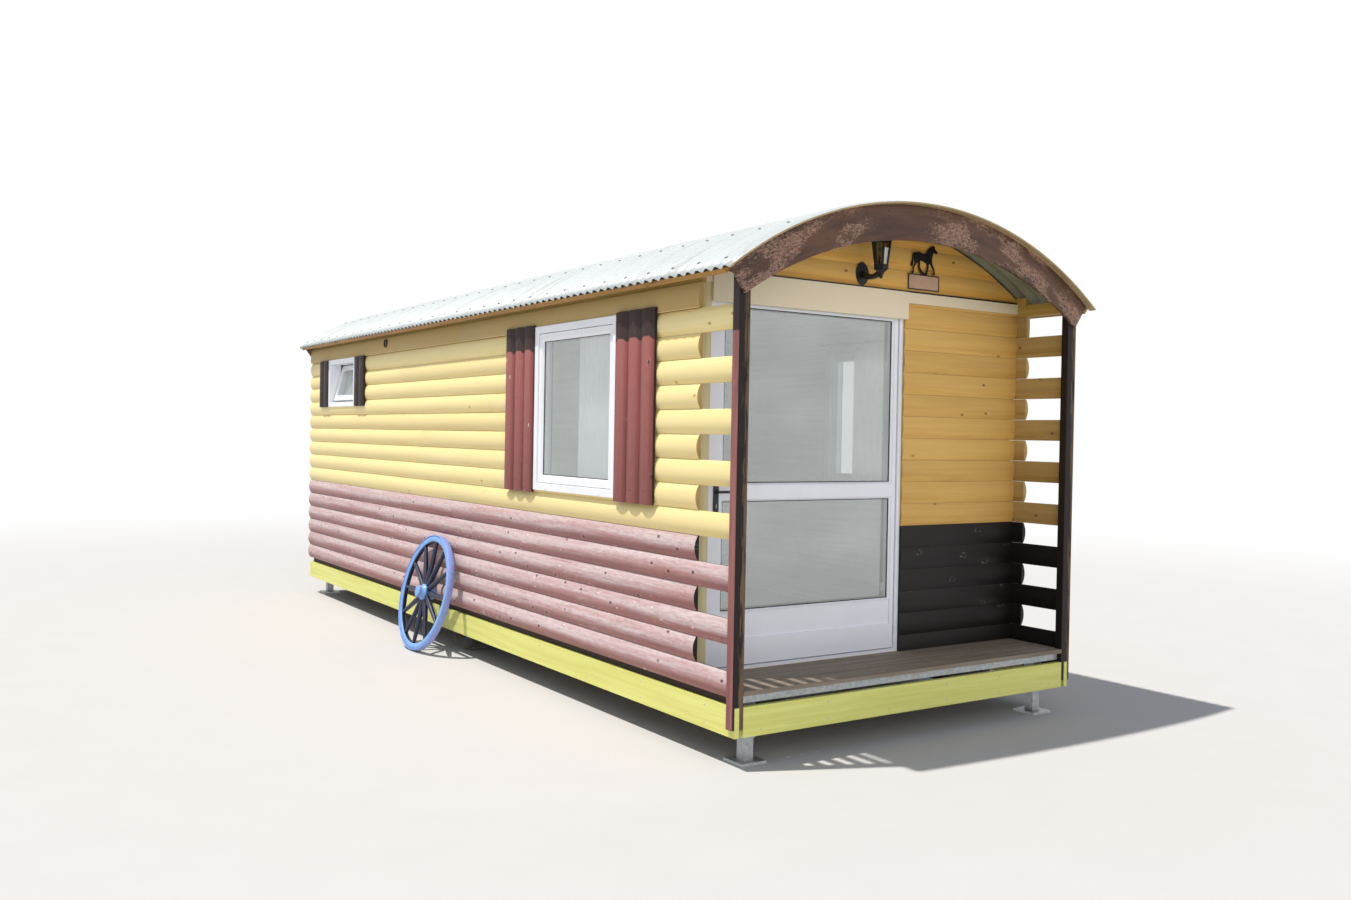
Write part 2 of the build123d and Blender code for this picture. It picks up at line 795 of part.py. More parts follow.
sash_middle = sum(sash_x) / 2
with BuildPart() as hopper_glass:
    block(
        (sash_middle - glass_thickness / 2, sash_middle + glass_thickness / 2),
        hopper_pane_y, hopper_pane_z,
    )
pieces["hopper_glass"] = hopper_glass.part.rotate(pivot, hopper_tilt)

# Shutters
shutter_low = window_low - shutter_drop
shutter_high = window_high + shutter_rise
large_row = shutter_boards * shutter_board
shutters = shutter_rows(
    (window_front - large_row, window_front + window_width), shutter_boards, shutter_board,
    shutter_low, shutter_high,
)
pieces["shutters_left"] = shutters
pieces["shutters_right"] = mirrored(shutters)
pieces["shutters_hopper"] = shutter_rows(
    (hopper_front - small_shutter_boards * small_shutter_board, hopper_front + hopper_width),
    small_shutter_boards, small_shutter_board, hopper_low, hopper_high,
)

# Curtains on their rods
rod_x = -wall_inside + curtain_wall_gap + rod_radius
rod_z = window_high + rod_rise
rod_span = (window_front - rod_overrun, window_front + window_width + rod_overrun)
bracket = bracket_size / 2
with BuildPart() as curtain_rod:
    with BuildSketch(across(rod_span[0])):
        with Locations((rod_x, rod_z)):
            Circle(rod_radius)
    extrude(amount=rod_span[0] - rod_span[1])
    for y in (rod_span[0] + bracket_inset, rod_span[1] - bracket_inset):
        block((-wall_inside, rod_x), (y - bracket, y + bracket), (rod_z - bracket, rod_z + bracket))
pieces["curtain_rods"] = pair(curtain_rod.part)
with BuildPart() as curtain:
    block(
        (rod_x - curtain_thickness / 2, rod_x + curtain_thickness / 2),
        (window_front + curtain_margin, window_front + curtain_margin + curtain_width),
        (window_low + curtain_margin, rod_z - rod_radius - seat_gap),
    )
pieces["curtains"] = pair(curtain.part)

# Roof
with BuildPart() as roof_core:
    with BuildSketch(across(front_inside)):
        with Locations((0, roof_centre)):
            Circle(roof_radius)
            Circle(roof_radius - core_thickness, mode=Mode.SUBTRACT)
        with Locations((0, roof_apex)):
            Rectangle(2 * log_back, 2 * (roof_apex - clad_top), mode=Mode.INTERSECT)
    extrude(amount=front_inside - rear_inside)
pieces["roof_core"] = roof_core.part

with BuildPart() as eave_beam:
    block((-sill_face, -log_back), (short_log_end, body_length), (clad_top, roof_apex))
    add(under_roof(0, short_log_end, body_length), mode=Mode.INTERSECT)
with BuildPart() as eave_plate:
    block((-log_back, -wall_inside), (front_inside, rear_inside), (clad_top, roof_apex))
    add(under_roof(core_thickness, front_inside, rear_inside), mode=Mode.INTERSECT)
with BuildPart() as eaves:
    for wood in (eave_beam.part, eave_plate.part):
        add(wood)
        add(mirrored(wood))
    block((log_back, sill_face), (post_depth, short_log_end), (clad_top, clad_top + porch_beam_height))
pieces["eave_beams"] = eaves.part

rail_angle = degrees(asin((roof_half_width - eave_rail_width) / roof_radius))
rail_sweep = degrees(asin((roof_half_width - eave_rail_inset) / roof_radius)) - rail_angle
with BuildPart() as eave_rail:
    with BuildSketch(across(0)):
        with BuildLine(Location((0, roof_centre))):
            outer = CenterArc((0, 0), roof_radius, 90 + rail_angle, rail_sweep)
            inner = CenterArc((0, 0), roof_radius - eave_rail_height, 90 + rail_angle, rail_sweep)
            Line(outer @ 0, inner @ 0)
            Line(outer @ 1, inner @ 1)
        make_face()
    extrude(amount=-body_length)
pieces["eave_rails"] = pair(eave_rail.part)

roof_front = -roof_front_overhang
roof_length = roof_front_overhang + body_length + roof_rear_overhang
wave_pitch = roof_length / wave_count
valley = roof_apex + sheet_thickness
barrel_axis = Axis((0, 0, roof_centre), (0, 1, 0))
with BuildPart() as roof_sheets:
    with BuildSketch(along(0)):
        with BuildLine():
            top = [
                (roof_front + step * wave_pitch / 2, valley + wave_depth * (step % 2))
                for step in range(2 * wave_count + 1)
            ]
            Polyline(*top, (roof_front + roof_length, roof_apex), (roof_front, roof_apex), close=True)
        make_face()
    revolve(axis=barrel_axis, revolution_arc=2 * roof_angle)
pieces["roof_sheets"] = roof_sheets.part.rotate(barrel_axis, -roof_angle)


def fascia(front):
    """Arched board under the sheets, its ends cut square to the arch."""
    end_angle = asin((crown + fascia_overhang) / roof_radius)
    lower_radius = roof_radius - fascia_tightness
    reach = 2 * roof_radius
    with BuildPart() as board:
        with BuildSketch(across(front)):
            with Locations((0, roof_centre)):
                Circle(roof_radius)
            with Locations((0, roof_apex - fascia_depth - lower_radius)):
                Circle(lower_radius, mode=Mode.SUBTRACT)
            with BuildSketch(across(front), mode=Mode.INTERSECT):
                with BuildLine():
                    Polyline(
                        (0, roof_centre),
                        (-reach * sin(end_angle), roof_centre + reach * cos(end_angle)),
                        (reach * sin(end_angle), roof_centre + reach * cos(end_angle)), close=True,
                    )
                make_face()
        extrude(amount=-fascia_thickness)
    return board.part


pieces["fascia_front"] = fascia(-fascia_thickness)
pieces["fascia_rear"] = fascia(body_length)

# Lantern: pointed wall plate, curved arm, turned foot, tapered six-sided cage and its roof
plate_width, plate_height, plate_depth = lantern_plate
plate_z = clad_top + lantern_rise
plate_y = porch_depth - seat_gap
arm_y = plate_y - plate_depth / 2
lantern_y = porch_depth - lantern_reach
foot_z = plate_z + lantern_foot
cage_foot, cage_head, cage_height = lantern_cage
head_z = foot_z + cage_height
roof_corner, roof_rise = lantern_roof
finial_foot, finial_tip, finial_height = lantern_finial


def hexagon_frustum(low, high, bottom, top):
    """Six-sided taper between two heights of the lantern, from its corner radii."""
    with BuildPart() as taper:
        for height, corner in ((low, bottom), (high, top)):
            with BuildSketch(Plane((lantern_x, lantern_y, height))):
                RegularPolygon(corner, lantern_sides)
        loft()
    return taper.part


with BuildPart() as lantern:
    with BuildSketch(Plane(origin=(lantern_x, plate_y, plate_z), x_dir=(1, 0, 0), z_dir=(0, -1, 0))):
        with BuildLine():
            ThreePointArc((0, -plate_height / 2), (plate_width / 2, 0), (0, plate_height / 2))
            ThreePointArc((0, plate_height / 2), (-plate_width / 2, 0), (0, -plate_height / 2))
        make_face()
    extrude(amount=plate_depth)
    with BuildLine(along(lantern_x)) as arm_path:
        ThreePointArc(
            (arm_y, plate_z), ((arm_y + lantern_y) / 2, plate_z - lantern_arm_sag), (lantern_y, plate_z),
        )
    with BuildSketch(Plane(origin=arm_path.line @ 0, z_dir=arm_path.line % 0)):
        RegularPolygon(lantern_arm_radius, lantern_arm_sides)
    sweep(path=arm_path.line)
    with BuildSketch(Plane(origin=(lantern_x, lantern_y, foot_z), x_dir=(1, 0, 0), z_dir=(0, -1, 0))):
        with BuildLine():
            Polyline((0, 0), *[(radius, -drop) for radius, drop in lantern_turning], close=True)
        make_face()
    revolve(axis=Axis((lantern_x, lantern_y, 0), (0, 0, 1)))
    add(hexagon_frustum(foot_z, foot_z + lantern_ring, cage_foot, cage_foot))
    bar_size = 2 * lantern_bar_radius
    add(hexagon_frustum(foot_z + lantern_ring, head_z, cage_foot - bar_size, cage_head - bar_size))
    for number in range(lantern_sides):
        turn = radians(360 * number / lantern_sides)
        low = Vector(lantern_x + cage_foot * cos(turn), lantern_y + cage_foot * sin(turn), foot_z)
        high = Vector(lantern_x + cage_head * cos(turn), lantern_y + cage_head * sin(turn), head_z)
        with BuildSketch(Plane(origin=low, z_dir=high - low)):
            RegularPolygon(lantern_bar_radius, 4)
        extrude(amount=(high - low).length)
    eave_z = head_z + lantern_ring
    add(hexagon_frustum(head_z, eave_z, cage_head + lantern_ring, cage_head + lantern_ring))
    add(hexagon_frustum(eave_z, eave_z + roof_rise, cage_head, roof_corner))
    finial_z = eave_z + roof_rise
    add(hexagon_frustum(finial_z, finial_z + finial_height, finial_foot, finial_tip))
pieces["lantern"] = lantern.part

# Cart wheel that leans on the left wall
lean = radians(cart_wheel_lean)
half_rim = cart_rim_thickness / 2
cart_z = cart_wheel_radius * cos(lean) + half_rim * sin(lean)
touch_log = int((2 * cart_wheel_radius * cos(lean) - clad_base) / log_pitch)
log_axis_x = -crown + log_radius
log_axis_z = clad_base + (touch_log + 0.5) * log_pitch
cart_reach = half_rim + log_radius + seat_gap + (log_axis_z - cart_z) * sin(lean)
cart_x = log_axis_x - cart_reach / cos(lean)
cart_place = Location((cart_x, cart_wheel_y, cart_z), (0, cart_wheel_lean, 0))
rim_inner = cart_wheel_radius - cart_rim_depth
band_inner = cart_wheel_radius - cart_band
felloe_half = half_rim - felloe_inset
cart_axis = Axis((0, 0, 0), (1, 0, 0))
with BuildPart() as cart_rim:
    with BuildSketch(Plane.XY):
        with BuildLine():
            Polyline(
                (-half_rim, cart_wheel_radius), (half_rim, cart_wheel_radius), (half_rim, band_inner),
                (felloe_half, band_inner), (felloe_half, rim_inner + felloe_inset),
                (felloe_half - felloe_inset, rim_inner), (felloe_inset - felloe_half, rim_inner),
                (-felloe_half, rim_inner + felloe_inset), (-felloe_half, band_inner),
                (-half_rim, band_inner), close=True,
            )
        make_face()
    revolve(axis=cart_axis)
pieces["cart_wheel_rim"] = cart_rim.part.moved(cart_place)

hub_half = cart_hub_length / 2
with BuildPart() as cart_spoke_set:
    for number in range(cart_spokes):
        turn = radians(360 * number / cart_spokes)
        outward = (0, cos(turn), sin(turn))
        for distance, corner in ((0, cart_spoke_foot), (rim_inner, cart_spoke_tip)):
            start = [distance * value for value in outward]
            with BuildSketch(Plane(origin=start, x_dir=(1, 0, 0), z_dir=outward)):
                RegularPolygon(corner, cart_spoke_sides)
        loft()
    with Locations(Rotation(0, 90, 0)):
        Cylinder(rim_inner, cart_rim_thickness, mode=Mode.INTERSECT)
    with BuildSketch(Plane.XY):
        with BuildLine():
            Polyline(
                (-hub_half, 0), (-hub_half, cart_hub_end_radius),
                (cart_hub_band - hub_half, cart_hub_end_radius), (-cart_hub_band, cart_hub_radius),
                (cart_hub_band, cart_hub_radius), (hub_half - cart_hub_band, cart_hub_end_radius),
                (hub_half, cart_hub_end_radius), (hub_half, 0), close=True,
            )
        make_face()
    revolve(axis=cart_axis)
pieces["cart_wheel_spokes"] = cart_spoke_set.part.moved(cart_place)

# Origin under the middle of the whole wagon
cart_low_x = cart_x - half_rim * cos(lean) - cart_wheel_radius * sin(lean)
roof_reach = (roof_radius + sheet_thickness + wave_depth) * sin(radians(roof_angle))
whole_end = eye_y + eye_ring_radius
to_origin = Location((-(cart_low_x + roof_reach) / 2, -(roof_front + whole_end) / 2, 0))
print("move to origin", to_origin.position)

os.makedirs("parts", exist_ok=True)
for name, piece in pieces.items():
    placed = piece.moved(to_origin)
    placed.label = name
    export_step(placed, f"parts/{name}.step")
print(len(pieces), "pieces")
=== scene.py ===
# %% [markdown]
# # A living wagon with an open porch
# The construction of this wagon is already modelled: walls, roof, chassis, door and wheels are solids at
# their real size. This notebook gives it its looks. Half-round logs, corrugated sheets, worn paint, white
# window plastic and a net curtain are built around the fixed frame, each from its own small rule.

# %% Load the frame
import random
from math import asin, cos, pi, radians, sin, sqrt

import bmesh
import bpy
from mathutils import Matrix, Vector


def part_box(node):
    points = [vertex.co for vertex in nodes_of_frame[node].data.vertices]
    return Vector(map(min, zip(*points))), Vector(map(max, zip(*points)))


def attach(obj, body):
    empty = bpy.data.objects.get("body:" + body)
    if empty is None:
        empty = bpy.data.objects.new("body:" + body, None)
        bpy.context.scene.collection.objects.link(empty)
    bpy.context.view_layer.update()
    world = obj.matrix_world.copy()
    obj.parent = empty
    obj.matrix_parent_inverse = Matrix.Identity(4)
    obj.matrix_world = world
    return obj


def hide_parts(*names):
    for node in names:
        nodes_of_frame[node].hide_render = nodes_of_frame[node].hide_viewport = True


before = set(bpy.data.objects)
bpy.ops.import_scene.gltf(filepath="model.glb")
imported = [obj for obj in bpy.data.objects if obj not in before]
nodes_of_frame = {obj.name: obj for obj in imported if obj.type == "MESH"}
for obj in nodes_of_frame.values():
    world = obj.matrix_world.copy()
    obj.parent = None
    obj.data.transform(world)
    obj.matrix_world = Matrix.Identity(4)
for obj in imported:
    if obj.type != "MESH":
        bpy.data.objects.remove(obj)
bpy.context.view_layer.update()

# %% [markdown]
# Sizes are read from the frame wherever a solid already holds them, so that nothing has to be fitted by
# eye. The walls give the pitch of the half-logs, the front sill board gives the centre plane, and the roof
# core gives the height of the ridge. Only what no box can tell is written down here: how thick and how round
# the boards are, the radius of the roof, and the place where every second half-log stops.

# %% Sizes read from the frame
wall_low, wall_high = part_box("wall_left_lower")
yellow_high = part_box("wall_left_upper")[1]
sill_low, sill_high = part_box("sill_front")
centre = (sill_low.x + sill_high.x) / 2
half_width = centre - wall_low.x
brown_courses, yellow_courses = 6, 10
log_pitch = (wall_high.z - wall_low.z) / brown_courses
log_thickness, log_bulge, wall_thickness = 0.045, 0.020, 0.095
board_back, front_bulge, frieze_bulge = 0.029, 0.008, 0.004
log_back = half_width - board_back
front_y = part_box("porch_posts")[0].y
post_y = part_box("porch_posts")[1].y
porch_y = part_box("wall_front_upper")[0].y
rear_y = wall_high.y
roof_radius, short_end = 2.19, 0.337
roof_low, roof_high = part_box("roof_sheets")
roof_angle = asin((roof_high.x - roof_low.x) / 2 / (roof_radius + 0.020))
ridge_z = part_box("roof_core")[1].z
roof_centre = ridge_z - roof_radius
floor_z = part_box("floor_panel")[1].z
print(f"half-logs {1000 * log_pitch:.1f} mm high, crowns {2 * half_width:.2f} m apart")

# %% [markdown]
# Shader maths reads best as plain expressions. A small class wraps one socket and lets Python's operators
# add the Math nodes, so `1 - mask * 0.4` builds its own little tree. Every other node comes from a single
# method, which takes the node's type, its settings and what goes into its sockets.

# %% A socket that can be calculated with
class Wire:
    """One output socket of a node tree."""

    def __init__(self, nodes, socket):
        self.nodes, self.socket = nodes, socket

    def __add__(self, other):
        return self.nodes.math("ADD", self, other)

    def __sub__(self, other):
        return self.nodes.math("SUBTRACT", self, other)

    def __rsub__(self, other):
        return self.nodes.math("SUBTRACT", other, self)

    def __mul__(self, other):
        return self.nodes.math("MULTIPLY", self, other)

    __radd__ = __add__
    __rmul__ = __mul__


class Nodes:
    """A node tree, and one method that adds any node to it."""

    def __init__(self, tree):
        self.tree = tree

    def add(self, kind, settings=(), sockets=(), output=0):
        node = self.tree.nodes.new(kind)
        for key, value in dict(settings).items():
            setattr(node, key, value)
        for key, value in dict(sockets).items():
            if isinstance(value, Wire):
                self.tree.links.new(value.socket, node.inputs[key])
            else:
                node.inputs[key].default_value = value
        return Wire(self, node.outputs[output]) if node.outputs else None

    def math(self, operation, *values):
        return self.add("ShaderNodeMath", {"operation": operation}, enumerate(values))

    def step(self, value, low, high):
        """A soft step from 0 to 1 as value goes from low to high."""
        return self.add(
            "ShaderNodeMapRange", {"interpolation_type": "SMOOTHSTEP"},
            {"Value": value, "From Min": low, "From Max": high},
        )

    def mix(self, factor, first, second):
        """A colour between two colours."""
        return self.add("ShaderNodeMix", {"data_type": "RGBA"}, {0: factor, 6: first, 7: second}, 2)

    def scaled(self, vector, by):
        return self.add("ShaderNodeVectorMath", {"operation": "MULTIPLY"}, {0: vector, 1: by})

    def parts(self, vector):
        """The three numbers of a vector."""
        split = self.add("ShaderNodeSeparateXYZ", (), {0: vector})
        return [Wire(self, socket) for socket in split.socket.node.outputs]

    def joined(self, x, y, z):
        return self.add("ShaderNodeCombineXYZ", (), enumerate((x, y, z)))

    def own_place(self):
        """The object's own coordinates."""
        return self.add("ShaderNodeTexCoord", (), (), 3)

    def noise(self, vector, scale=1, detail=4, rough=0.55, twist=0):
        return self.add("ShaderNodeTexNoise", (), {
            "Vector": vector, "Scale": scale, "Detail": detail, "Roughness": rough, "Distortion": twist,
        })

    def cells(self, vector, output=0, dimensions="2D"):
        """Distance to the nearest cell's point, or with output 1 the cell's own colour."""
        return self.add(
            "ShaderNodeTexVoronoi", {"voronoi_dimensions": dimensions}, {"Vector": vector, "Scale": 1}, output
        )


print("a wire knows", [name for name in vars(Wire) if name.startswith("__") and "add" in name])

# %% [markdown]
# A colour is written as it looks on a screen, and Blender works in linear light, so each written value
# goes through the same curve once. Every finish ends in one Principled shader: what is constant goes
# straight onto its sockets, and what varies over the surface is linked.

# %% Colours and the common end of a finish
def colour(code):
    """A linear colour from six hexadecimal digits."""
    values = [int(code[place:place + 2], 16) / 255 for place in (0, 2, 4)]
    return [value / 12.92 if value < 0.04045 else ((value + 0.055) / 1.055) ** 2.4 for value in values] + [1]


def new_finish(name):
    material = bpy.data.materials.new(name)
    material.use_nodes = True
    material.node_tree.nodes.clear()
    return material, Nodes(material.node_tree)


def surface(nodes, base, height=None, bump=0.5, depth=0.002, **sockets):
    """Principled shader with its bump, linked to the output. An underscore stands for a space."""
    values = {"Base Color": base}
    values.update({key.replace("_", " "): value for key, value in sockets.items()})
    if height is not None:
        values["Normal"] = nodes.add(
            "ShaderNodeBump", (), {"Strength": bump, "Distance": depth, "Height": height}
        )
    shader = nodes.add("ShaderNodeBsdfPrincipled", (), values)
    nodes.add("ShaderNodeOutputMaterial", (), {"Surface": shader})


white = colour("FFFFFF")
print("a warm yellow is", [round(value, 3) for value in colour("E8D28A")])

# %% [markdown]
# Wood needs a direction. On a half-log the pattern follows the log, so each cladding mesh carries a
# `grain` attribute: how far along the log a point lies, how far across it, and a number for the board.
# A plain board from the frame has no such attribute, so there the object's own coordinates are put in
# the order along, across, through. Both give the same kind of vector, and one wood serves both.

# %% Grain coordinates and the figure of the wood
# The near-black colour of the shade under the eaves, painted as a stain.
eave_shade_colour = "120C0C"


def attribute(nodes, name, output):
    return nodes.add("ShaderNodeAttribute", {"attribute_name": name}, (), output)


def grain_vector(nodes, order):
    if order == "logs":
        return attribute(nodes, "grain", 1)
    axes = dict(zip("xyz", nodes.parts(nodes.own_place())))
    return nodes.joined(*[axes[letter] for letter in order])


def figure(nodes, grain):
    """Streaks, fine fibres and growth rings of sawn softwood, each from 0 to 1."""
    bend = nodes.noise(nodes.scaled(grain, (1.4, 5, 5)), 1, 2) * 0.03
    bent = nodes.add("ShaderNodeVectorMath", {"operation": "ADD"}, {0: grain, 1: nodes.joined(0, bend, bend)})
    streaks = nodes.noise(nodes.scaled(bent, (1.1, 34, 34)), 1, 5, 0.62)
    fibres = nodes.noise(nodes.scaled(bent, (9, 420, 420)), 1, 3, 0.6)
    rings = nodes.math("PINGPONG", nodes.noise(nodes.scaled(bent, (2.6, 13, 13)), 1, 2) * 18, 1.0)
    return streaks, fibres, nodes.step(rings, 0.45, 0.95)


def nearest_knot(nodes, grain):
    """How far the nearest knot is, and a random number that says whether it is there."""
    spots = nodes.scaled(grain, (5.2, 8.5, 3.0))
    return nodes.cells(spots), nodes.parts(nodes.cells(spots, 1))[0]


def paint_eave_shade(nodes, shade, height, stain, scallop=0):
    """Painted eave shade: darker above a height; the scallop lets the line follow round boards."""
    kept = nodes.step(nodes.parts(nodes.own_place())[2] - scallop, height, height + 0.006)
    return nodes.mix(kept * 0.93, shade, colour(stain))


# The dark colour printed here is painted shade of the eaves.
print("one wood figure serves logs and boards; the stain that stayed dark is", eave_shade_colour)

# %% [markdown]
# The upper half-logs wear an opaque satin stain in a warm pale yellow. Little of the grain shows through:
# a few tan knots, small differences from board to board, and a darker band along the lower edge of each
# log that is partly dirt and partly painted shade. The lower ones have the same profile in a purple brown,
# bleached to a dusty pink on the upper half of each log, partly by the sun and partly as painted light, with
# dark knots ringed by pale flecks. Every log has a pale line along its top edge, which is painted highlight.
# The course under the eaves and the tops of the shutters are painted darker above a line, as painted shade
# of the eaves. All come from one function with different numbers.

# %% Stained half-logs
bare_fleck = "EADAD4"


# The stain argument is the colour of the painted eave shade.
def stained_logs(name, body, deep, pale, knot, worn, knots, eave_shade_from=None, stain=eave_shade_colour):
    material, nodes = new_finish(name)
    grain = grain_vector(nodes, "logs")
    streaks, fibres, rings = figure(nodes, grain)
    distance, chance = nearest_knot(nodes, grain)
    patches = nodes.noise(nodes.scaled(grain, (0.9, 7, 3)), 1, 4, 0.6)
    across = attribute(nodes, "seam", 2)
    crown = 1 - nodes.step(nodes.math("ABSOLUTE", across), 0.35, 0.95)
    # The upper part of each log is paler: partly sun bleaching, partly painted light.
    ragged = across + (patches - 0.5) * 1.0 + (streaks - 0.5) * 0.8
    bleached_and_lit = crown if eave_shade_from else nodes.step(ragged, -0.6, 0.3)
    bleach_and_light = bleached_and_lit * (nodes.step(streaks, 0.3, 0.65) * 0.5 + 0.5) * worn
    shade = nodes.mix(nodes.step(streaks, 0.35, 0.7), colour(body), colour(deep))
    shade = nodes.mix(bleach_and_light, shade, colour(pale))
    shade = nodes.mix(rings * (0.05 + 0.12 * worn), shade, colour(deep))
    mottle = nodes.step(nodes.noise(nodes.scaled(grain, (16, 80, 50)), 1, 5, 0.7), 0.44, 0.68)
    shade = nodes.mix(mottle * 0.42 * worn * worn, shade, colour(deep))
    loops = nodes.step(rings, 0.7, 1.0) * nodes.step(patches, 0.52, 0.64)
    shade = nodes.mix(loops * 0.5 * worn, shade, colour(pale))
    cracks = nodes.step(nodes.noise(nodes.scaled(grain, (1.6, 120, 50)), 1, 2), 0.70, 0.73) * worn
    shade = nodes.mix(cracks * 0.6, shade, colour(knot))
    present = nodes.step(chance, 1 - knots, 1 - knots + 0.02)
    heart = (1 - nodes.step(distance, 0.045, 0.09)) * present
    halo = (1 - nodes.step(distance, 0.08, 0.2)) * present - heart
    flecks = nodes.step(nodes.noise(nodes.scaled(grain, (60, 150, 60)), 1, 3), 0.55, 0.62)
    shade = nodes.mix(halo * 0.55 * worn * flecks, shade, colour(bare_fleck))
    shade = nodes.mix(heart * 0.8, shade, colour(knot))
    # A pale line along each log's top edge is painted highlight.
    shade = nodes.mix(nodes.step(across, 0.84, 0.97) * 0.5 * worn, shade, colour(pale))
    # Darker along each log's lower edge, by the seam: partly dirt, partly painted shade.
    dirt = nodes.step(1 - across + (streaks - 0.5) * 0.2, 1.82, 2.0)
    shade = nodes.mix(dirt * 0.45, shade, colour(deep))
    darker = nodes.mix(0.35, shade, colour(knot))
    shade = nodes.mix(nodes.step(attribute(nodes, "tone", 2), 0.55, 1.0) * 0.32, shade, darker)
    if worn >= 0.5:
        chips = nodes.scaled(grain, (7, 19, 5))
        chipped = nodes.step(nodes.parts(nodes.cells(chips, 1))[1], 0.9, 0.92)
        chip = (1 - nodes.step(nodes.cells(chips), 0.05, 0.11)) * chipped
        shade = nodes.mix(chip * 0.7, shade, colour(bare_fleck))
    # Painted shade of the eaves: darker above a height.
    if eave_shade_from:
        shade = paint_eave_shade(nodes, shade, eave_shade_from, stain, crown * 0.018)
    height = fibres * 0.35 + streaks * 0.5 + rings * 0.15 - heart * 0.4 - cracks * 0.8 + patches * 0.2
    surface(nodes, shade, height, 0.35, 0.0012, Roughness=0.5 + bleach_and_light * 0.3, Specular_IOR_Level=0.35)
    return material


# The top course is painted a darker tan above its seam, as painted shade of the eaves.
yellow_logs = stained_logs(
    "yellow_logs", "EDDA9C", "E6CF8A", "F5E9B9", "B08A4A", 0.3, 0.05, yellow_high.z - log_pitch, "AD9158",
)
# The front wall's yellow boards are given a deeper ochre that paints the porch's shade and the warm light
# from the deck onto the yellow stain.
porch_lit_yellow_logs = stained_logs("porch_lit_yellow_logs", "D9AE5E", "C99A4E", "E2BE78", "80551F", 0.3, 0.12)
brown_logs = stained_logs("brown_logs", "A6726E", "8E5F5C", "D2C3C3", "33201E", 0.9, 0.3)
# The front wall's lower logs and the ends and backs of brown boards are near black: partly the brown stain,
# partly painted shade.
brown_logs_in_shade = stained_logs("brown_logs_in_shade", "0F0A09", "0A0706", "1B1413", "080505", 0.45, 0.2)
log_backs = stained_logs("log_backs", "B99A5C", "97783F", "CDB27A", "6A4A1E", 0.4, 0.2)
print("stained logs:", yellow_logs.name, porch_lit_yellow_logs.name, brown_logs.name, brown_logs_in_shade.name, log_backs.name)

# %% [markdown]
# Everything else made of wood is a flat board, and most of it is painted. Paint on an outdoor board chips
# first where water stands, so the mask for the bare patches is a noise stretched along the grain, and the
# same mask lowers the surface and dulls the gloss there. A row that ends with a height is painted near
# black above it, as painted shade of the eaves.

# %% Painted and worn boards
def painted_board(name, order, paint, shadow, bare, worn, rough=0.5, flake=3.0, eave_shade_from=None):
    material, nodes = new_finish(name)
    grain = grain_vector(nodes, order)
    streaks, fibres, rings = figure(nodes, grain)
    cover = nodes.noise(nodes.scaled(grain, (flake, flake * 4, flake * 4)), 1, 6, 0.65, 0.6)
    edge = nodes.noise(nodes.scaled(grain, (40, 90, 90)), 1, 4)
    lost = nodes.step(cover + (edge - 0.5) * 0.25, 1 - worn, 1.04 - worn)
    wood = nodes.mix(streaks, colour(bare), colour(shadow))
    coat = nodes.mix(nodes.step(streaks, 0.3, 0.75), colour(paint), colour(shadow))
    stains = nodes.noise(nodes.scaled(grain, (2, 9, 9)), 1, 3)
    coat = nodes.mix(nodes.step(stains, 0.5, 0.85) * 0.2, coat, colour(bare))
    coat = nodes.mix(rings * 0.12, coat, colour(shadow))
    height = (1 - lost) * 0.7 + fibres * 0.3 + streaks * 0.3
    shade = nodes.mix(lost, coat, wood)
    # Painted shade of the eaves: darker above a height.
    if eave_shade_from:
        shade = paint_eave_shade(nodes, shade, eave_shade_from, eave_shade_colour)
    surface(nodes, shade, height, 0.5, 0.0012, Roughness=rough + lost * 0.35, Specular_IOR_Level=0.35)
    return material


# The height above which posts and shutters are painted dark, as painted shade of the eaves.
eave_shade_height = 2.085
sill_paint = painted_board("lime_sill_paint", "yzx", "DFE084", "D0CE6C", "C4B078", 0.27, 0.45, 2.0)
sill_paint_ends = painted_board("lime_sill_ends", "xzy", "DFE084", "D0CE6C", "C4B078", 0.27, 0.45, 2.0)
# The eave beams' yellow is darkened, partly as painted shade of the eaves.
eave_beam_paint_in_shade = painted_board("eave_beam_paint_in_shade", "yzx", "C0A258", "A88840", "9A7A44", 0.24, 0.5, 2.0)
rail_paint = painted_board("rail_paint", "yzx", "A87A34", "875D28", "6B4A24", 0.36, 0.5, 4.0)
post_side = painted_board("post_side", "zxy", "94605C", "774644", "B98B82", 0.34, 0.5, 3.0, eave_shade_height)
trim_paint = painted_board("corner_trim", "zxy", "E0D2A4", "CDBB88", "B79F68", 0.2, 0.5, 2.0)
verge_paint = painted_board("verge_cap", "xzy", "B9A27A", "A28A62", "80694A", 0.24, 0.45, 2.0)
joist_stain = painted_board("joist_stain", "yzx", "3A2A26", "2A1E1B", "6B5646", 0.3, 0.7, 3.0)
shutter_stain = stained_logs("shutter_stain", "8C4A46", "6B3433", "AC706A", "2E1716", 0.6, 0.3, eave_shade_height)
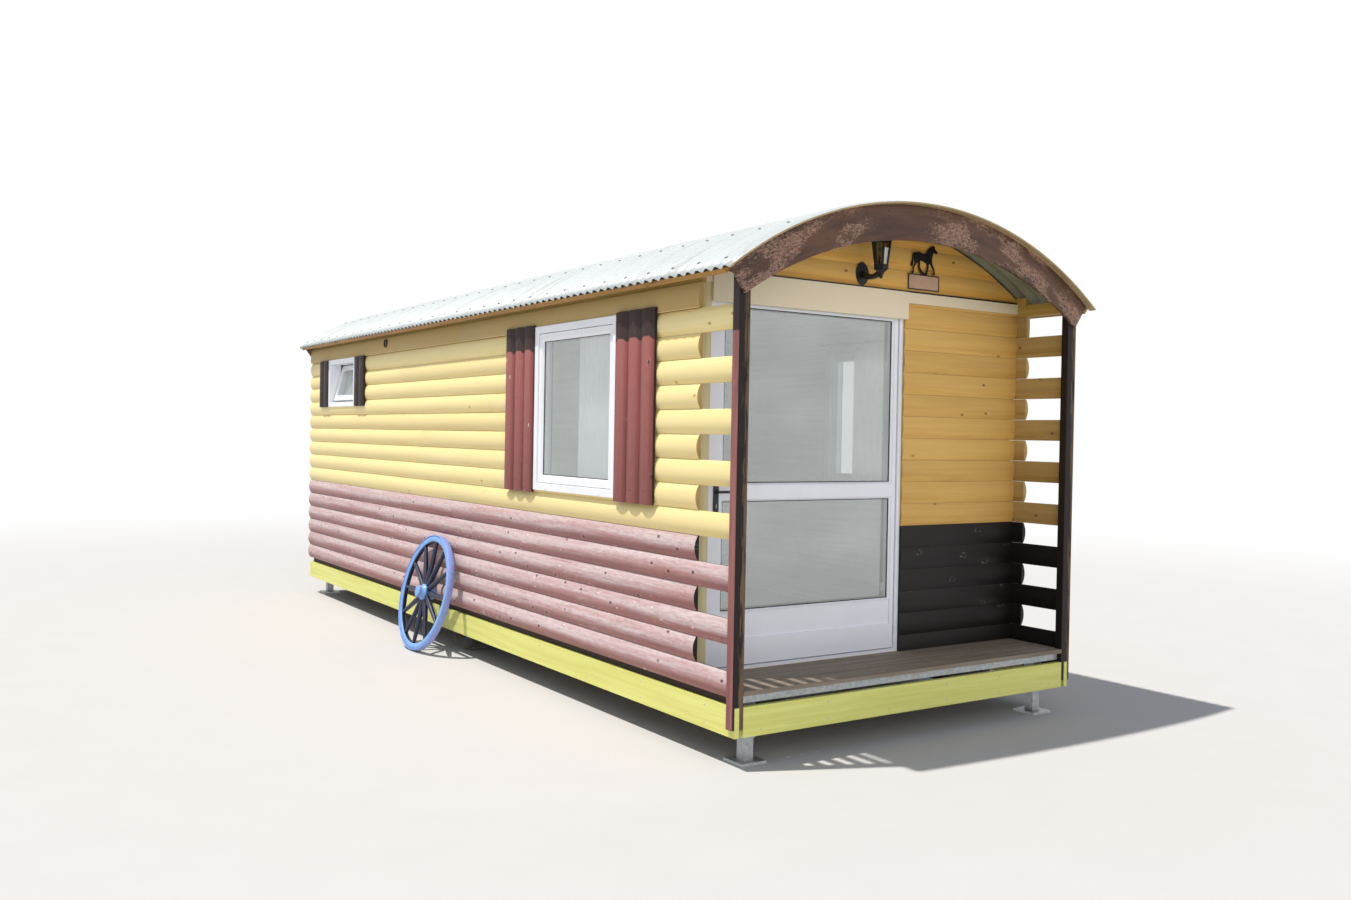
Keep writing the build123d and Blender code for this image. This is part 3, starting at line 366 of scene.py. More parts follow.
# The sides, ends and backs of the shutter boards are near black: painted shade.
shutter_sides_in_shade = stained_logs("shutter_sides_in_shade", "2C1615", "1E0F0E", "4A2A28", "140A09", 0.3, 0.1)
hopper_stain = stained_logs("hopper_stain", "271919", "1A1010", "4E3734", "120B0B", 0.45, 0.3)
plank_wood = painted_board("plank_wood", "xyz", "8C8072", "6B6156", "A89A86", 0.34, 0.7, 3.0)
deck_ply = painted_board("deck_ply", "yxz", "9A8260", "7C6749", "B7A382", 0.32, 0.75, 1.5)
ceiling_paint = painted_board("ceiling_paint", "yxz", "C6C8B6", "AEB09E", "8F907F", 0.22, 0.6, 1.5)
inner_paint = painted_board("inner_paint", "yzx", "D9D2BE", "C9C0A8", "B9AE92", 0.2, 0.6, 1.5)
print("boards:", sorted(material.name for material in bpy.data.materials if "paint" in material.name))

# %% [markdown]
# The arched boards at the gables have suffered most. About the middle their brown paint is whole, and away
# from it the paint curls and shows pinkish wood under it. The boards are cut to the arch, so the pattern is
# worked out in the angle round the barrel and the distance from its axis.

# %% Peeling paint on the arched boards
def peeling_finish():
    """Brown paint on the arched boards: whole about the middle, curled and flaked away from it."""
    material, nodes = new_finish("peeling_fascia")
    x, _, z = nodes.parts(nodes.own_place())
    turn = nodes.math("ARCTAN2", x - centre, z - roof_centre)
    out = nodes.math("SQRT", (x - centre) * (x - centre) + (z - roof_centre) * (z - roof_centre))
    along = turn * roof_radius
    flakes = nodes.noise(nodes.joined(along * 44, out * 100, 0), 1, 6, 0.75, 1.4)
    whole = nodes.step(nodes.math("ABSOLUTE", turn + 0.1), 0.04, 0.16)
    patch = nodes.step(nodes.noise(nodes.joined(along * 3.4, out * 9, 7), 1, 3), 0.36, 0.56) * whole
    lost = nodes.step(flakes + patch * 0.16, 0.63, 0.68) * (patch * 0.6 + 0.12)
    fibres = nodes.noise(nodes.joined(along * 9, out * 300, 0), 1, 3)
    cloudy = nodes.step(nodes.noise(nodes.joined(along * 2, out * 14, 0), 1, 4), 0.35, 0.7)
    coat = nodes.mix(cloudy, colour("5C3C2B"), colour("3C261A"))
    wood = nodes.mix(fibres, colour("CDAA97"), colour("946C57"))
    surface(
        nodes, nodes.mix(lost, coat, wood), (1 - lost) * 0.8 + fibres * 0.3, 0.6, 0.0016,
        Roughness=0.42 + lost * 0.4, Specular_IOR_Level=0.4,
    )
    return material


fascia_paint = peeling_finish()
print("arched boards wear", fascia_paint.name)

# %% [markdown]
# Metals, plastics and rubber don't have a grain, so they share the object's own coordinates. Window plastic
# is smooth and slightly grey where dust settles. Hot dipped steel has crystals that catch the light at
# different angles, which Voronoi cells give in one node. Painted steel chips to rust near the road, and
# rubber is greyed by dust from the ground up.

# %% Plastics, metals and rubber
def plain_finish(name, base, stain, strength, scale, grit, rough, bump, depth, **sockets):
    """A base colour under clouds of a stain, with a fine grit that has its own scale and bump."""
    material, nodes = new_finish(name)
    place_on = nodes.own_place()
    cloud = nodes.noise(place_on, scale, 5, 0.6)
    mask = nodes.step(cloud, 0.42, 0.78) * strength
    surface(
        nodes, nodes.mix(mask, colour(base), colour(stain)), nodes.noise(place_on, grit, 3), bump, depth,
        Roughness=rough + (cloud - 0.5) * 0.25, **sockets,
    )
    return material


def galvanised_finish(name, tint):
    material, nodes = new_finish(name)
    place_on = nodes.own_place()
    crystal = nodes.parts(nodes.cells(nodes.scaled(place_on, (70, 70, 70)), 1, "3D"))[0]
    dirt = nodes.step(nodes.noise(place_on, 6, 5, 0.65), 0.5, 0.8)
    base = nodes.mix(crystal, colour(tint), colour("9EA2A5"))
    surface(
        nodes, nodes.mix(dirt * 0.3, base, colour("7A7268")), crystal, 0.05, 0.0003,
        Roughness=0.45 + crystal * 0.1 + dirt * 0.3, Metallic=0.8 - dirt * 0.6,
    )
    return material


def rusty_finish(name, paint, chipped):
    material, nodes = new_finish(name)
    place_on = nodes.own_place()
    cloud = nodes.noise(place_on, 7, 6, 0.66)
    rust = nodes.step(cloud, 1 - chipped, 1.04 - chipped)
    orange = nodes.mix(nodes.noise(place_on, 60, 3), colour("8A4B25"), colour("4A2817"))
    height = rust + nodes.noise(place_on, 300, 2) * 0.4
    surface(
        nodes, nodes.mix(rust, colour(paint), orange), height, 0.4, 0.0006,
        Roughness=0.45 + rust * 0.4, Metallic=0.3 - rust * 0.3,
    )
    return material


pvc = plain_finish("window_plastic", "ECEEF3", "D6D6D5", 0.3, 2.2, 500, 0.24, 0.02, 0.0002)
cream_case = plain_finish("cream_case", "E9DABB", "D8C8A4", 0.3, 2.0, 400, 0.36, 0.03, 0.0002)
black_plastic = plain_finish("black_plastic", "1B1B1C", "3C3A37", 0.4, 20, 500, 0.5, 0.2, 0.0004)
seal_rubber = plain_finish("seal_rubber", "202022", "4B4844", 0.4, 30, 700, 0.6, 0.2, 0.0003)
tyre_rubber = plain_finish("tyre_rubber", "232322", "6B6459", 0.75, 7, 500, 0.8, 0.35, 0.0008)
wheel_paint = plain_finish("wheel_paint", "B9BBBD", "6E655A", 0.6, 12, 500, 0.4, 0.15, 0.0004, Metallic=0.5)
black_iron = plain_finish("worn_black_iron", "111113", "2A2523", 0.5, 40, 240, 0.45, 0.4, 0.0012)
rod_black = plain_finish("rod_black", "222225", "3B3A3A", 0.3, 20, 300, 0.35, 0.1, 0.0004)
rusted_screw = plain_finish("rusted_screw", "5C3A30", "8A6A5C", 0.5, 90, 600, 0.7, 0.2, 0.0003)
screw_zinc = plain_finish("screw_zinc", "B4B6B8", "7E7468", 0.5, 90, 600, 0.35, 0.2, 0.0003, Metallic=0.9)
chassis_steel = rusty_finish("chassis_steel", "34373A", 0.36)
galvanised = galvanised_finish("hot_dip_zinc", "AEB2B5")
print("plain finishes:", len(bpy.data.materials), "materials so far")

# %% [markdown]
# The roof sheets are coated metal that has gone chalky: nearly white in the sun, bluish where it turns
# away, with grey runs of dirt from the ridge down to the eaves. Runs follow the slope, so the noise is
# read in the angle round the barrel and the distance along it, both worked out from object coordinates.

# %% Weathered roof coating
def roof_finish():
    material, nodes = new_finish("roof_coating")
    x, y, z = nodes.parts(nodes.own_place())
    turn = nodes.math("ARCTAN2", x - centre, z - roof_centre)
    runs = nodes.noise(nodes.joined(turn * 1.6, y * 9, 0), 1, 5, 0.6)
    spots = nodes.noise(nodes.joined(turn * 60, y * 30, z * 30), 1, 4, 0.6)
    low = nodes.step(nodes.math("ABSOLUTE", turn), 0.3, 0.7)
    dirt = nodes.step(runs + spots * 0.3, 0.62, 0.95) * (0.35 + low * 0.4)
    base = nodes.mix(nodes.noise(nodes.joined(turn * 3, y * 2, 0), 1, 3), colour("BFC5C5"), colour("B1B9BC"))
    surface(nodes, nodes.mix(dirt, base, colour("84857B")), spots, 0.15, 0.0006, Roughness=0.42 + dirt * 0.35)
    return material


roof_coating = roof_finish()
print("roof coating runs with the slope")

# %% [markdown]
# Window glass is two shaders in one: mostly clear, with a mirror that grows at grazing angles. A Mix Shader
# with a power of the viewing angle as its factor says exactly that, and it needs no slow refraction through
# two panes. The two panes always mirror a little, even seen straight on, and a faint film of dust keeps them
# from disappearing.

# %% Glass
def glass_finish(name, tint, film):
    material, nodes = new_finish(name)
    place_on = nodes.own_place()
    smear = nodes.noise(nodes.scaled(place_on, (1.5, 1.5, 3)), 1, 3)
    clear = nodes.add("ShaderNodeBsdfTransparent", (), {"Color": colour(tint)})
    mirror = nodes.add("ShaderNodeBsdfPrincipled", (), {
        "Base Color": colour("EEF3F2"), "Roughness": 0.02, "Metallic": 1.0,
    })
    facing = nodes.add("ShaderNodeLayerWeight", (), {"Blend": 0.5}, 1)
    grazing = nodes.math("POWER", facing, 5) * 0.92
    factor = nodes.math("MINIMUM", grazing + 0.25 + nodes.step(smear, 0.3, 0.8) * film, 1.0)
    mixed = nodes.add("ShaderNodeMixShader", (), {0: factor, 1: clear, 2: mirror})
    nodes.add("ShaderNodeOutputMaterial", (), {"Surface": mixed})
    return material


pane_glass = glass_finish("pane_glass", "FCFDFD", 0.07)
lantern_glass = glass_finish("lantern_glass", "F0EEDF", 0.1)
print("glass:", pane_glass.name, lantern_glass.name)

# %% [markdown]
# Solids whose shape is already right only need a finish. A small table pairs each finish with the nodes
# that wear it. Boards whose grain runs across the wagon get the finish made for that direction.

# %% Finishes for the solids that stay
finish_of = {
    chassis_steel: ("chassis_rails", "drawbar", "tow_eye", "axle"),
    galvanised: (
        "floor_bearers", "steady_sleeves", "steady_front_left", "steady_front_right",
        "steady_rear_left", "steady_rear_right",
    ),
    joist_stain: ("rim_joists",),
    deck_ply: ("floor_panel", "wheel_boxes"),
    plank_wood: ("porch_planks",),
    sill_paint: ("sill_sides",),
    sill_paint_ends: ("sill_front", "sill_rear"),
    pvc: ("door_frame", "door_leaf", "door_hinges", "hopper_frame", "hopper_sash"),
    cream_case: ("shutter_box",),
    pane_glass: ("door_glass", "window_glass", "hopper_glass"),
    rod_black: ("curtain_rods",),
    ceiling_paint: ("roof_core",),
    eave_beam_paint_in_shade: ("eave_beams",),
    rail_paint: ("eave_rails",),
    fascia_paint: ("fascia_front", "fascia_rear"),
    wheel_paint: ("rim_left", "rim_right"),
}
for finish, names in finish_of.items():
    for name in names:
        slots_of_node = nodes_of_frame[name].data.materials
        if not slots_of_node:
            slots_of_node.append(finish)
        for place_in_list in range(len(slots_of_node)):
            slots_of_node[place_in_list] = finish
print(sum(len(names) for names in finish_of.values()), "solids have their finish")

# %% [markdown]
# The half-logs are the heart of this wagon, and the solids show them with only a few flat facets each. Here
# every course is laid as real boards instead: a rounded face, a flat back, softened ends, and a butt joint
# where one board was too short. A board is a small grid of cells in which a window takes some cells away,
# and wherever a cell has no neighbour the side is closed, so every board is a closed solid.

# %% A board with a rounded face
end_soft, cell_length = 0.0025, 0.8


def place(x, y, z):
    """A point measured from the centre plane and from the front of the posts."""
    return Vector((centre + x, front_y + y, z))


def new_board_mesh():
    mesh = bmesh.new()
    layers = mesh.verts.layers
    return mesh, (layers.float_vector.new("grain"), layers.float.new("tone"), layers.float.new("seam"))


def samples(low, high, count, extra=()):
    """Evenly spaced values with a few extra ones, each only once."""
    values = {round(low + (high - low) * step / count, 6) for step in range(count + 1)}
    values.update(round(value, 6) for value in extra if low < value < high)
    return sorted(values)


def lay_board(mesh, layers, to_world, span, heights, face, back, chance, holes=(), reach=None,
              soft=end_soft, own_back=False):
    """Along, depth and height are the board's own directions; holes are (start, end, low, high)."""
    start, end = span
    number, tone = chance.random(), chance.random()
    slide = chance.uniform(0, 30)
    edges = [start + soft, end - soft] + [edge for hole in holes for edge in hole[:2]]
    alongs = samples(start, end, max(1, round((end - start) / cell_length)), edges)
    sills_and_heads = [edge for hole in holes for edge in hole[2:]]
    heights = samples(heights[0], heights[-1], 1, list(heights) + sills_and_heads)
    low, high = heights[0], heights[-1]
    behind = 2 if own_back else 0
    corners = {}

    def corner(step, row, deep):
        key = (step, row, deep)
        if key not in corners:
            along, height = alongs[step], heights[row]
            if reach:
                along = max(-reach(height), min(reach(height), along))
            depth = back if deep else face(height) + (soft * 0.6 if step in (0, len(alongs) - 1) else 0)
            vertex = mesh.verts.new(to_world(along, depth, height))
            vertex[layers[0]] = (along + slide, height + number, number * 9 + (0.4 if deep else 0))
            vertex[layers[1]] = tone
            vertex[layers[2]] = 2 * (height - low) / (high - low) - 1
            corners[key] = vertex
        return corners[key]

    def kept(step, row):
        if not (0 <= step < len(alongs) - 1 and 0 <= row < len(heights) - 1):
            return False
        middle = (alongs[step] + alongs[step + 1]) / 2, (heights[row] + heights[row + 1]) / 2
        if any(hole[0] < middle[0] < hole[1] and hole[2] < middle[1] < hole[3] for hole in holes):
            return False
        return not reach or min(abs(alongs[step]), abs(alongs[step + 1])) < reach(heights[row + 1]) + 1e-6

    for step in range(len(alongs) - 1):
        for row in range(len(heights) - 1):
            if not kept(step, row):
                continue
            ring = [(step, row), (step + 1, row), (step + 1, row + 1), (step, row + 1)]
            mesh.faces.new([corner(*key, False) for key in ring])
            mesh.faces.new([corner(*key, True) for key in reversed(ring)]).material_index = behind
            sides = (
                (ring[0], ring[1], (step, row - 1)), (ring[1], ring[2], (step + 1, row)),
                (ring[2], ring[3], (step, row + 1)), (ring[3], ring[0], (step - 1, row)),
            )
            for first, second, beside in sides:
                if not kept(*beside):
                    edge = ((*second, False), (*first, False), (*first, True), (*second, True))
                    mesh.faces.new([corner(*key) for key in edge]).material_index = behind


print(f"a board's ends are softened by {1000 * end_soft} mm")

# %% [markdown]
# A wall is then a loop over its courses. On the sides the even courses run on to the porch post and the odd
# ones stop short of it, which leaves the slatted sides of the porch, and the top one is nearly flat. Windows
# are holes in the loop, the gables follow the arch, and behind the boards stands a plain lining with the
# same holes.

# %% Walls laid course by course
rear_length = rear_y - front_y
porch_depth = porch_y - front_y
post_depth = post_y - front_y
split_z, clad_low, clad_high = wall_high.z, wall_low.z, yellow_high.z
board_gap, most_bow, arch_gap = 0.0006, 0.0012, 0.001
longest_board, joint_places = 5, (2.4, 3.1, 3.6, 4.2)
seat = 0.0002


def left_side(along, depth, height):
    return place(depth - half_width, along, height)


def right_side(along, depth, height):
    return place(half_width - depth, along, height)


def front_side(along, depth, height):
    return place(along, porch_depth + depth, height)


def rear_side(along, depth, height):
    return place(along, rear_length - depth, height)


def arch_reach(height):
    """Half the width under the sheets at a height."""
    inside = (roof_radius - arch_gap) ** 2 - (height - roof_centre) ** 2
    return min(log_back, sqrt(max(inside, 0)))


def lay_course(mesh, layers, to_world, span, foot, chance, holes=(), reach=None, top=None, bulge=log_bulge):
    """One course of half-logs, cut into boards where a butt joint falls."""
    middle = foot + log_pitch / 2
    radius = (log_pitch ** 2 / 4 + bulge ** 2) / (2 * bulge)
    bow = chance.uniform(0, most_bow)

    def face(height):
        return radius - sqrt(radius ** 2 - (height - middle) ** 2) + bow

    start, end = span
    cuts = [start, end]
    if end - start > longest_board:
        cuts.insert(1, start + chance.choice(joint_places) + chance.uniform(-0.15, 0.15))
    head = min(foot + log_pitch, top) if top else foot + log_pitch
    heights = samples(foot + board_gap, head - board_gap, 12)
    for first, second in zip(cuts, cuts[1:]):
        ends = (first + (board_gap if first > start else 0), second - (board_gap if second < end else 0))
        lay_board(
            mesh, layers, to_world, ends, heights, face, board_back, chance, holes, reach, own_back=True,
        )


def lay_lining(mesh, layers, to_world, span, low, high, chance, holes=(), reach=None):
    """The flat lining behind the boards."""
    rows = samples(low, high, 24 if reach else 1)
    lay_board(
        mesh, layers, to_world, span, rows, lambda height: log_thickness + seat, wall_thickness,
        chance, holes, reach, 0.0001,
    )


print(f"the porch is {porch_depth:.3f} m deep, and a course over {longest_board} m long gets a butt joint")

# %% [markdown]
# Every piece ends in the same way. Doubles are merged, the faces are turned outwards, and an angle decides
# which edges stay sharp. Then the mesh gets its finishes, the body it rides on, and the solid it stands
# for. On a wall the faces of the lining are told apart by their numbers.

# %% From a mesh to a piece of the wagon
def finished_mesh(mesh, name, angle=35):
    """A mesh with outward faces, smooth up to an angle."""
    bmesh.ops.remove_doubles(mesh, verts=mesh.verts, dist=1e-6)
    bmesh.ops.dissolve_degenerate(mesh, edges=mesh.edges, dist=1e-6)
    bmesh.ops.recalc_face_normals(mesh, faces=mesh.faces)
    data = bpy.data.meshes.new(name)
    mesh.to_mesh(data)
    mesh.free()
    data.shade_smooth()
    data.set_sharp_from_angle(angle=radians(angle))
    return data


def put_in_scene(name, data):
    thing = bpy.data.objects.new(name, data)
    bpy.context.scene.collection.objects.link(thing)
    return thing


def add_piece(data, finishes, replaces=(), body="wagon"):
    """Shows a mesh as a piece that rides on a body, and says how many triangles it has."""
    piece = put_in_scene(data.name, data)
    for number, finish in enumerate(finishes):
        if number < len(data.materials):
            data.materials[number] = finish
        else:
            data.materials.append(finish)
    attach(piece, body)
    if replaces:
        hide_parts(*replaces)
    data.calc_loop_triangles()
    print(f"{piece.name}: {len(data.loop_triangles)} triangles")
    return piece


def add_logs(name, courses, finish, slot, replaces, lining):
    """Courses and lining are dictionaries of what lay_course and lay_lining take."""
    mesh, layers = new_board_mesh()
    for course in courses:
        lay_course(mesh, layers, **course)
    outside = len(mesh.faces)
    for sheet in lining:
        lay_lining(mesh, layers, **sheet)
    mesh.faces.ensure_lookup_table()
    for number in range(outside, len(mesh.faces)):
        mesh.faces[number].material_index = 1
    # The ends and backs of brown boards get the near black of painted shade.
    back = brown_logs_in_shade if slot == "log_brown" else log_backs
    add_piece(finished_mesh(mesh, name), (finish, inner_paint, back), replaces)


print("inside a wall the lining wears", inner_paint.name, "and the backs of the boards", log_backs.name)

# %% [markdown]
# The two long walls differ only in the small window, so one loop lays both of them, the brown courses first
# and the yellow ones above. The random numbers are drawn from a fixed seed for each part, which keeps every
# board where it is when something else changes.

# %% The side walls
window_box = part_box("window_frame_left")
hopper_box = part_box("hopper_frame")
all_courses = brown_courses + yellow_courses


def hole_of(box):
    return (box[0].y - front_y, box[1].y - front_y, box[0].z, box[1].z)


side_holes = {"left": [hole_of(window_box), hole_of(hopper_box)], "right": [hole_of(window_box)]}
for side, to_world, seed in (("left", left_side, 11), ("right", right_side, 12)):
    for part, first, last, finish in (
        ("lower", 0, brown_courses, brown_logs), ("upper", brown_courses, all_courses, yellow_logs)
    ):
        chance = random.Random(seed * 10 + first)
        holes = side_holes[side] if part == "upper" else []
        courses = [
            dict(
                to_world=to_world, span=(post_depth if course % 2 == 0 else short_end, rear_length),
                foot=clad_low + course * log_pitch, chance=chance, holes=holes,
                bulge=frieze_bulge if course == all_courses - 1 else log_bulge,
            )
            for course in range(first, last)
        ]
        low, high = clad_low + first * log_pitch, clad_low + last * log_pitch
        lining = [dict(
            to_world=to_world, span=(porch_depth + wall_thickness, rear_length - wall_thickness),
            low=max(low, floor_z), high=high, chance=chance, holes=holes,
        )]
        add_logs(
            f"half_logs_{side}_{part}", courses, finish,
            "log_brown" if part == "lower" else "log_yellow", [f"wall_{side}_{part}"], lining,
        )

# %% [markdown]
# The end walls use the same courses. The rear wall carries them right up under the arch, where `reach`
# cuts each board to the curve. The front wall has flatter boards, a strip left of the door and a wider
# field right of it, with a gable over the shutter case.

# %% End walls and gables
frame_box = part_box("door_frame")
case_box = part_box("shutter_box")
gable_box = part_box("gable_front")
door_left, door_right = frame_box[0].x - centre, frame_box[1].x - centre
band_height = 0.060
band_low = case_box[1].z - band_height
front_spans = ((-log_back, door_left), (door_right, log_back))
rear_span = (-log_back, log_back)
gable_foot = gable_box[0].z
# The gable's boards are given an orange that paints the warm light from the deck onto the yellow stain.
deck_lit_gable_logs = stained_logs("deck_lit_gable_logs", "EDB95C", "D59A40", "F4D28A", "8A5A22", 0.4, 0.2)


def end_courses(to_world, spans, seed, low, count, reach=None, top=None):
    chance = random.Random(seed)
    bulge = front_bulge if to_world == front_side else log_bulge
    return [
        dict(
            to_world=to_world, span=span, foot=low + course * log_pitch, chance=chance, bulge=bulge,
            reach=reach if low + (course + 1) * log_pitch > clad_high else None, top=top,
        )
        for course in range(count) for span in spans
    ]


def end_lining(to_world, spans, seed, low, high, reach=None):
    chance = random.Random(seed)
    return [
        dict(to_world=to_world, span=span, low=low, high=high, chance=chance, reach=reach) for span in spans
    ]


arch_top = ridge_z - 0.002
for name, slot, finish, replaces, to_world, spans, seed, low, count, lining_low, top in (
    ("rear_lower", "log_brown", brown_logs, "wall_rear_lower", rear_side, (rear_span,), 31,
     clad_low, brown_courses, floor_z, split_z),
    ("rear_upper", "log_yellow", yellow_logs, "wall_rear_upper", rear_side, (rear_span,), 32,
     split_z, yellow_courses + 4, split_z, arch_top),
    ("front_lower", "log_brown", brown_logs_in_shade, "wall_front_lower", front_side, front_spans, 33,
     clad_low, brown_courses, floor_z, split_z),
    ("front_upper", "log_yellow", porch_lit_yellow_logs, "wall_front_upper", front_side, front_spans, 34,
     split_z, yellow_courses + 1, split_z, band_low),
    ("front_gable", "log_yellow", deck_lit_gable_logs, "gable_front", front_side, (rear_span,), 35,
     gable_foot, 4, gable_foot, arch_top),
):
    reach = arch_reach if top == arch_top else None
    add_logs(
        "half_logs_" + name, end_courses(to_world, spans, seed, low, count, reach, top), finish, slot,
        [replaces], end_lining(to_world, spans, seed, lining_low, top, reach),
    )

# %% [markdown]
# What repeats on the wagon, such as roof waves, screws and tread, is made by Geometry Nodes. A small class
# builds such a tree with the same wires as the shader maths, and keeps the inputs by name. A modifier's
# input has to be set by its socket's identifier before the object is first evaluated, so one function does
# that, takes the evaluated result as a plain mesh, and throws the helper object away.

# %% A small helper for geometry trees
class Tree(Nodes):
    """A geometry tree with named inputs; nodes are joined with the same kind of wires."""

    def __init__(self, name, inputs):
        tree = bpy.data.node_groups.new(name, "GeometryNodeTree")
        super().__init__(tree)
        tree.interface.new_socket("Geometry", in_out="OUTPUT", socket_type="NodeSocketGeometry")
        self.names = {}
        for label, (kind, value) in inputs.items():
            socket = tree.interface.new_socket(label, in_out="INPUT", socket_type="NodeSocket" + kind)
            self.names[label] = (socket.identifier, value)
        self.entry = tree.nodes.new("NodeGroupInput")

    def given(self, label):
        return Wire(self, self.entry.outputs[label])

    def finish(self, geometry):
        exit_node = self.tree.nodes.new("NodeGroupOutput")
        self.tree.links.new(geometry.socket, exit_node.inputs[0])


def evaluated_mesh(holder):
    """What an object looks like with its modifiers, as a plain mesh; the object goes."""
    view = bpy.context.evaluated_depsgraph_get()
    data = bpy.data.meshes.new_from_object(holder.evaluated_get(view))
    bpy.data.objects.remove(holder)
    return data


def grown(name, tree, thickness=0.0, seed=None):
    """The tree's result as a plain mesh, with the modifiers gone; a seed holds the points it grows from."""
    holder = put_in_scene(name, seed or bpy.data.meshes.new(name + "_seed"))
    modifier = holder.modifiers.new("grow", "NODES")
    modifier.node_group = tree.tree
    for identifier, value in tree.names.values():
        if value is not None:
            modifier[identifier] = value
    if thickness:
        solid = holder.modifiers.new("thickness", "SOLIDIFY")
        solid.thickness, solid.offset = thickness, 1
    data = evaluated_mesh(holder)
    data.name = name
    return data


print("trees can be grown; node groups so far:", len(bpy.data.node_groups))

# %% [markdown]
# Corrugated sheets are a shape with a rule: a cosine wave along the wagon, bent over a barrel. Geometry
# Nodes can say that in one Set Position node, and every number stays a named input. One sheet is a flat
# grid whose first coordinate becomes the place along the roof and whose second becomes the angle. It is
# set out along the ridge with a wave of lap each time, and every other sheet rides a little higher, as
# lapped sheets do. Solidify then gives the metal its thickness, and the faces that look inwards get the
# duller finish of the underside.

# %% The corrugated roof
metal, wave_depth, lap_lift = 0.0008, 0.0172, 0.0011
wave_count, sheet_waves, samples_per_wave, arc_steps = 92, 14, 10, 32
wave_pitch = (roof_high.y - roof_low.y - 2 * metal) / wave_count
sheet_count = (wave_count - 1) // (sheet_waves - 1)


def roof_tree():
    tree = Tree("corrugated_roof", {
        "Waves": ("Int", sheet_waves), "Pitch": ("Float", wave_pitch), "Depth": ("Float", wave_depth),
        "Radius": ("Float", roof_radius + seat), "Half Angle": ("Float", roof_angle - 0.0004),
        "Start": ("Float", roof_low.y + metal), "Sheets": ("Int", sheet_count), "Lift": ("Float", lap_lift),
        "Centre": ("Vector", (centre, 0, roof_centre)), "Finish": ("Material", roof_coating),
    })
    waves, pitch = tree.given("Waves"), tree.given("Pitch")
    grid = tree.add("GeometryNodeMeshGrid", (), {
        "Size X": 1, "Size Y": 1, "Vertices X": waves * samples_per_wave + 1, "Vertices Y": arc_steps + 1,
    })
    flat = tree.parts(tree.add("GeometryNodeInputPosition"))
    along = (flat[0] + 0.5) * waves
    turn = flat[1] * tree.given("Half Angle") * 2
    rise = (1 - tree.math("COSINE", along * (2 * pi))) * tree.given("Depth") * 0.5 + tree.given("Radius")
    bent = tree.joined(
        rise * tree.math("SINE", turn), along * pitch, rise * tree.math("COSINE", turn)
    )
    sheet = tree.add("GeometryNodeSetPosition", (), {"Geometry": grid, "Position": bent})
    rows = tree.add("GeometryNodeMeshLine", (), {
        "Count": tree.given("Sheets"), "Start Location": tree.joined(0, tree.given("Start"), 0),
        "Offset": tree.joined(0, pitch * (waves - 1), 0),
    })
    odd = tree.math("MODULO", tree.add("GeometryNodeInputIndex"), 2)
    seats = tree.add("GeometryNodeSetPosition", (), {
        "Geometry": rows, "Offset": tree.add("ShaderNodeVectorMath", {"operation": "ADD"}, {
            0: tree.given("Centre"), 1: tree.joined(0, 0, odd * tree.given("Lift")),
        }),
    })
    laid = tree.add("GeometryNodeInstanceOnPoints", (), {"Points": seats, "Instance": sheet})
    real = tree.add("GeometryNodeRealizeInstances", (), {0: laid})
    smooth = tree.add("GeometryNodeSetShadeSmooth", (), {0: real})
    tree.finish(tree.add("GeometryNodeSetMaterial", (), {0: smooth, "Material": tree.given("Finish")}))
    return tree


roof_mesh = grown("corrugated_roof", roof_tree(), metal)
for face in roof_mesh.polygons:
    outward = Vector((face.center.x - centre, 0, face.center.z - roof_centre))
    face.material_index = 1 if face.normal.dot(outward) < 0 else 0
roof_underside = plain_finish("roof_underside", "7E806C", "5E5C49", 0.6, 5, 300, 0.6, 0.1, 0.0004)
add_piece(roof_mesh, (roof_coating, roof_underside), ["roof_sheets"])
print(f"{sheet_count} sheets of {sheet_waves} waves, {1000 * wave_pitch:.1f} mm apart")

# %% [markdown]
# The shutters are upright half-round boards, three on each side of a large window and two on each side of
# the small one. They are the same kind of board as the walls, turned so that its length runs upwards.

# %% Shutter boards
shutter_bulge, shutter_gap, shutter_seat = 0.027, 0.0008, 0.0003
shutter_rows = (
    ("shutters_left", -1, 3, window_box, shutter_stain, "shutter_wood"),
    ("shutters_right", 1, 3, window_box, shutter_stain, "shutter_wood"),
    ("shutters_hopper", -1, 2, hopper_box, hopper_stain, "dark_wood"),
)


def boards_beside(name, opening, boards):
    """Where each board beside an opening starts, and its width."""
    low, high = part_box(name)
    for start, end in ((low.y, opening[0].y), (opening[1].y, high.y)):
        width = (end - start) / boards
        for board in range(boards):
            yield start - front_y + board * width, width


def lay_shutter(mesh, layers, side, start, width, low, high, chance):
    middle = start + width / 2
    rise = shutter_bulge / 2
    radius = (width ** 2 / 4 + rise ** 2) / (2 * rise)

    def face(across):
        return radius - sqrt(radius ** 2 - (across - middle) ** 2)

    def upright(along, depth, across):
        return place(side * (half_width + shutter_seat + shutter_bulge - depth), across, along)

    rows = samples(start + shutter_gap, start + width - shutter_gap, 12)
    lay_board(
        mesh, layers, upright, (low, high), rows, face, shutter_bulge, chance, soft=0.004, own_back=True,
    )


for name, side, boards, opening, finish, slot in shutter_rows:
    low, high = (corner.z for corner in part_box(name))
    chance = random.Random(boards * 5 + side)
    mesh, layers = new_board_mesh()
    for start, width in boards_beside(name, opening, boards):
        lay_shutter(mesh, layers, side, start, width, low, high, chance)
    add_piece(finished_mesh(mesh, "upright_" + name), (finish, finish, shutter_sides_in_shade), [name])

# %% [markdown]
# Several parts are turned or bent, so three builders serve them all. One turns a profile about an axis,
# one draws a tube along a path, and one runs a profile round a rectangle with mitred corners, which is how
# a joiner makes a window frame. Each of them places copies of a profile as rings of points, and one more
# function covers the rings with faces. They only add closed surfaces to a mesh that is already open.

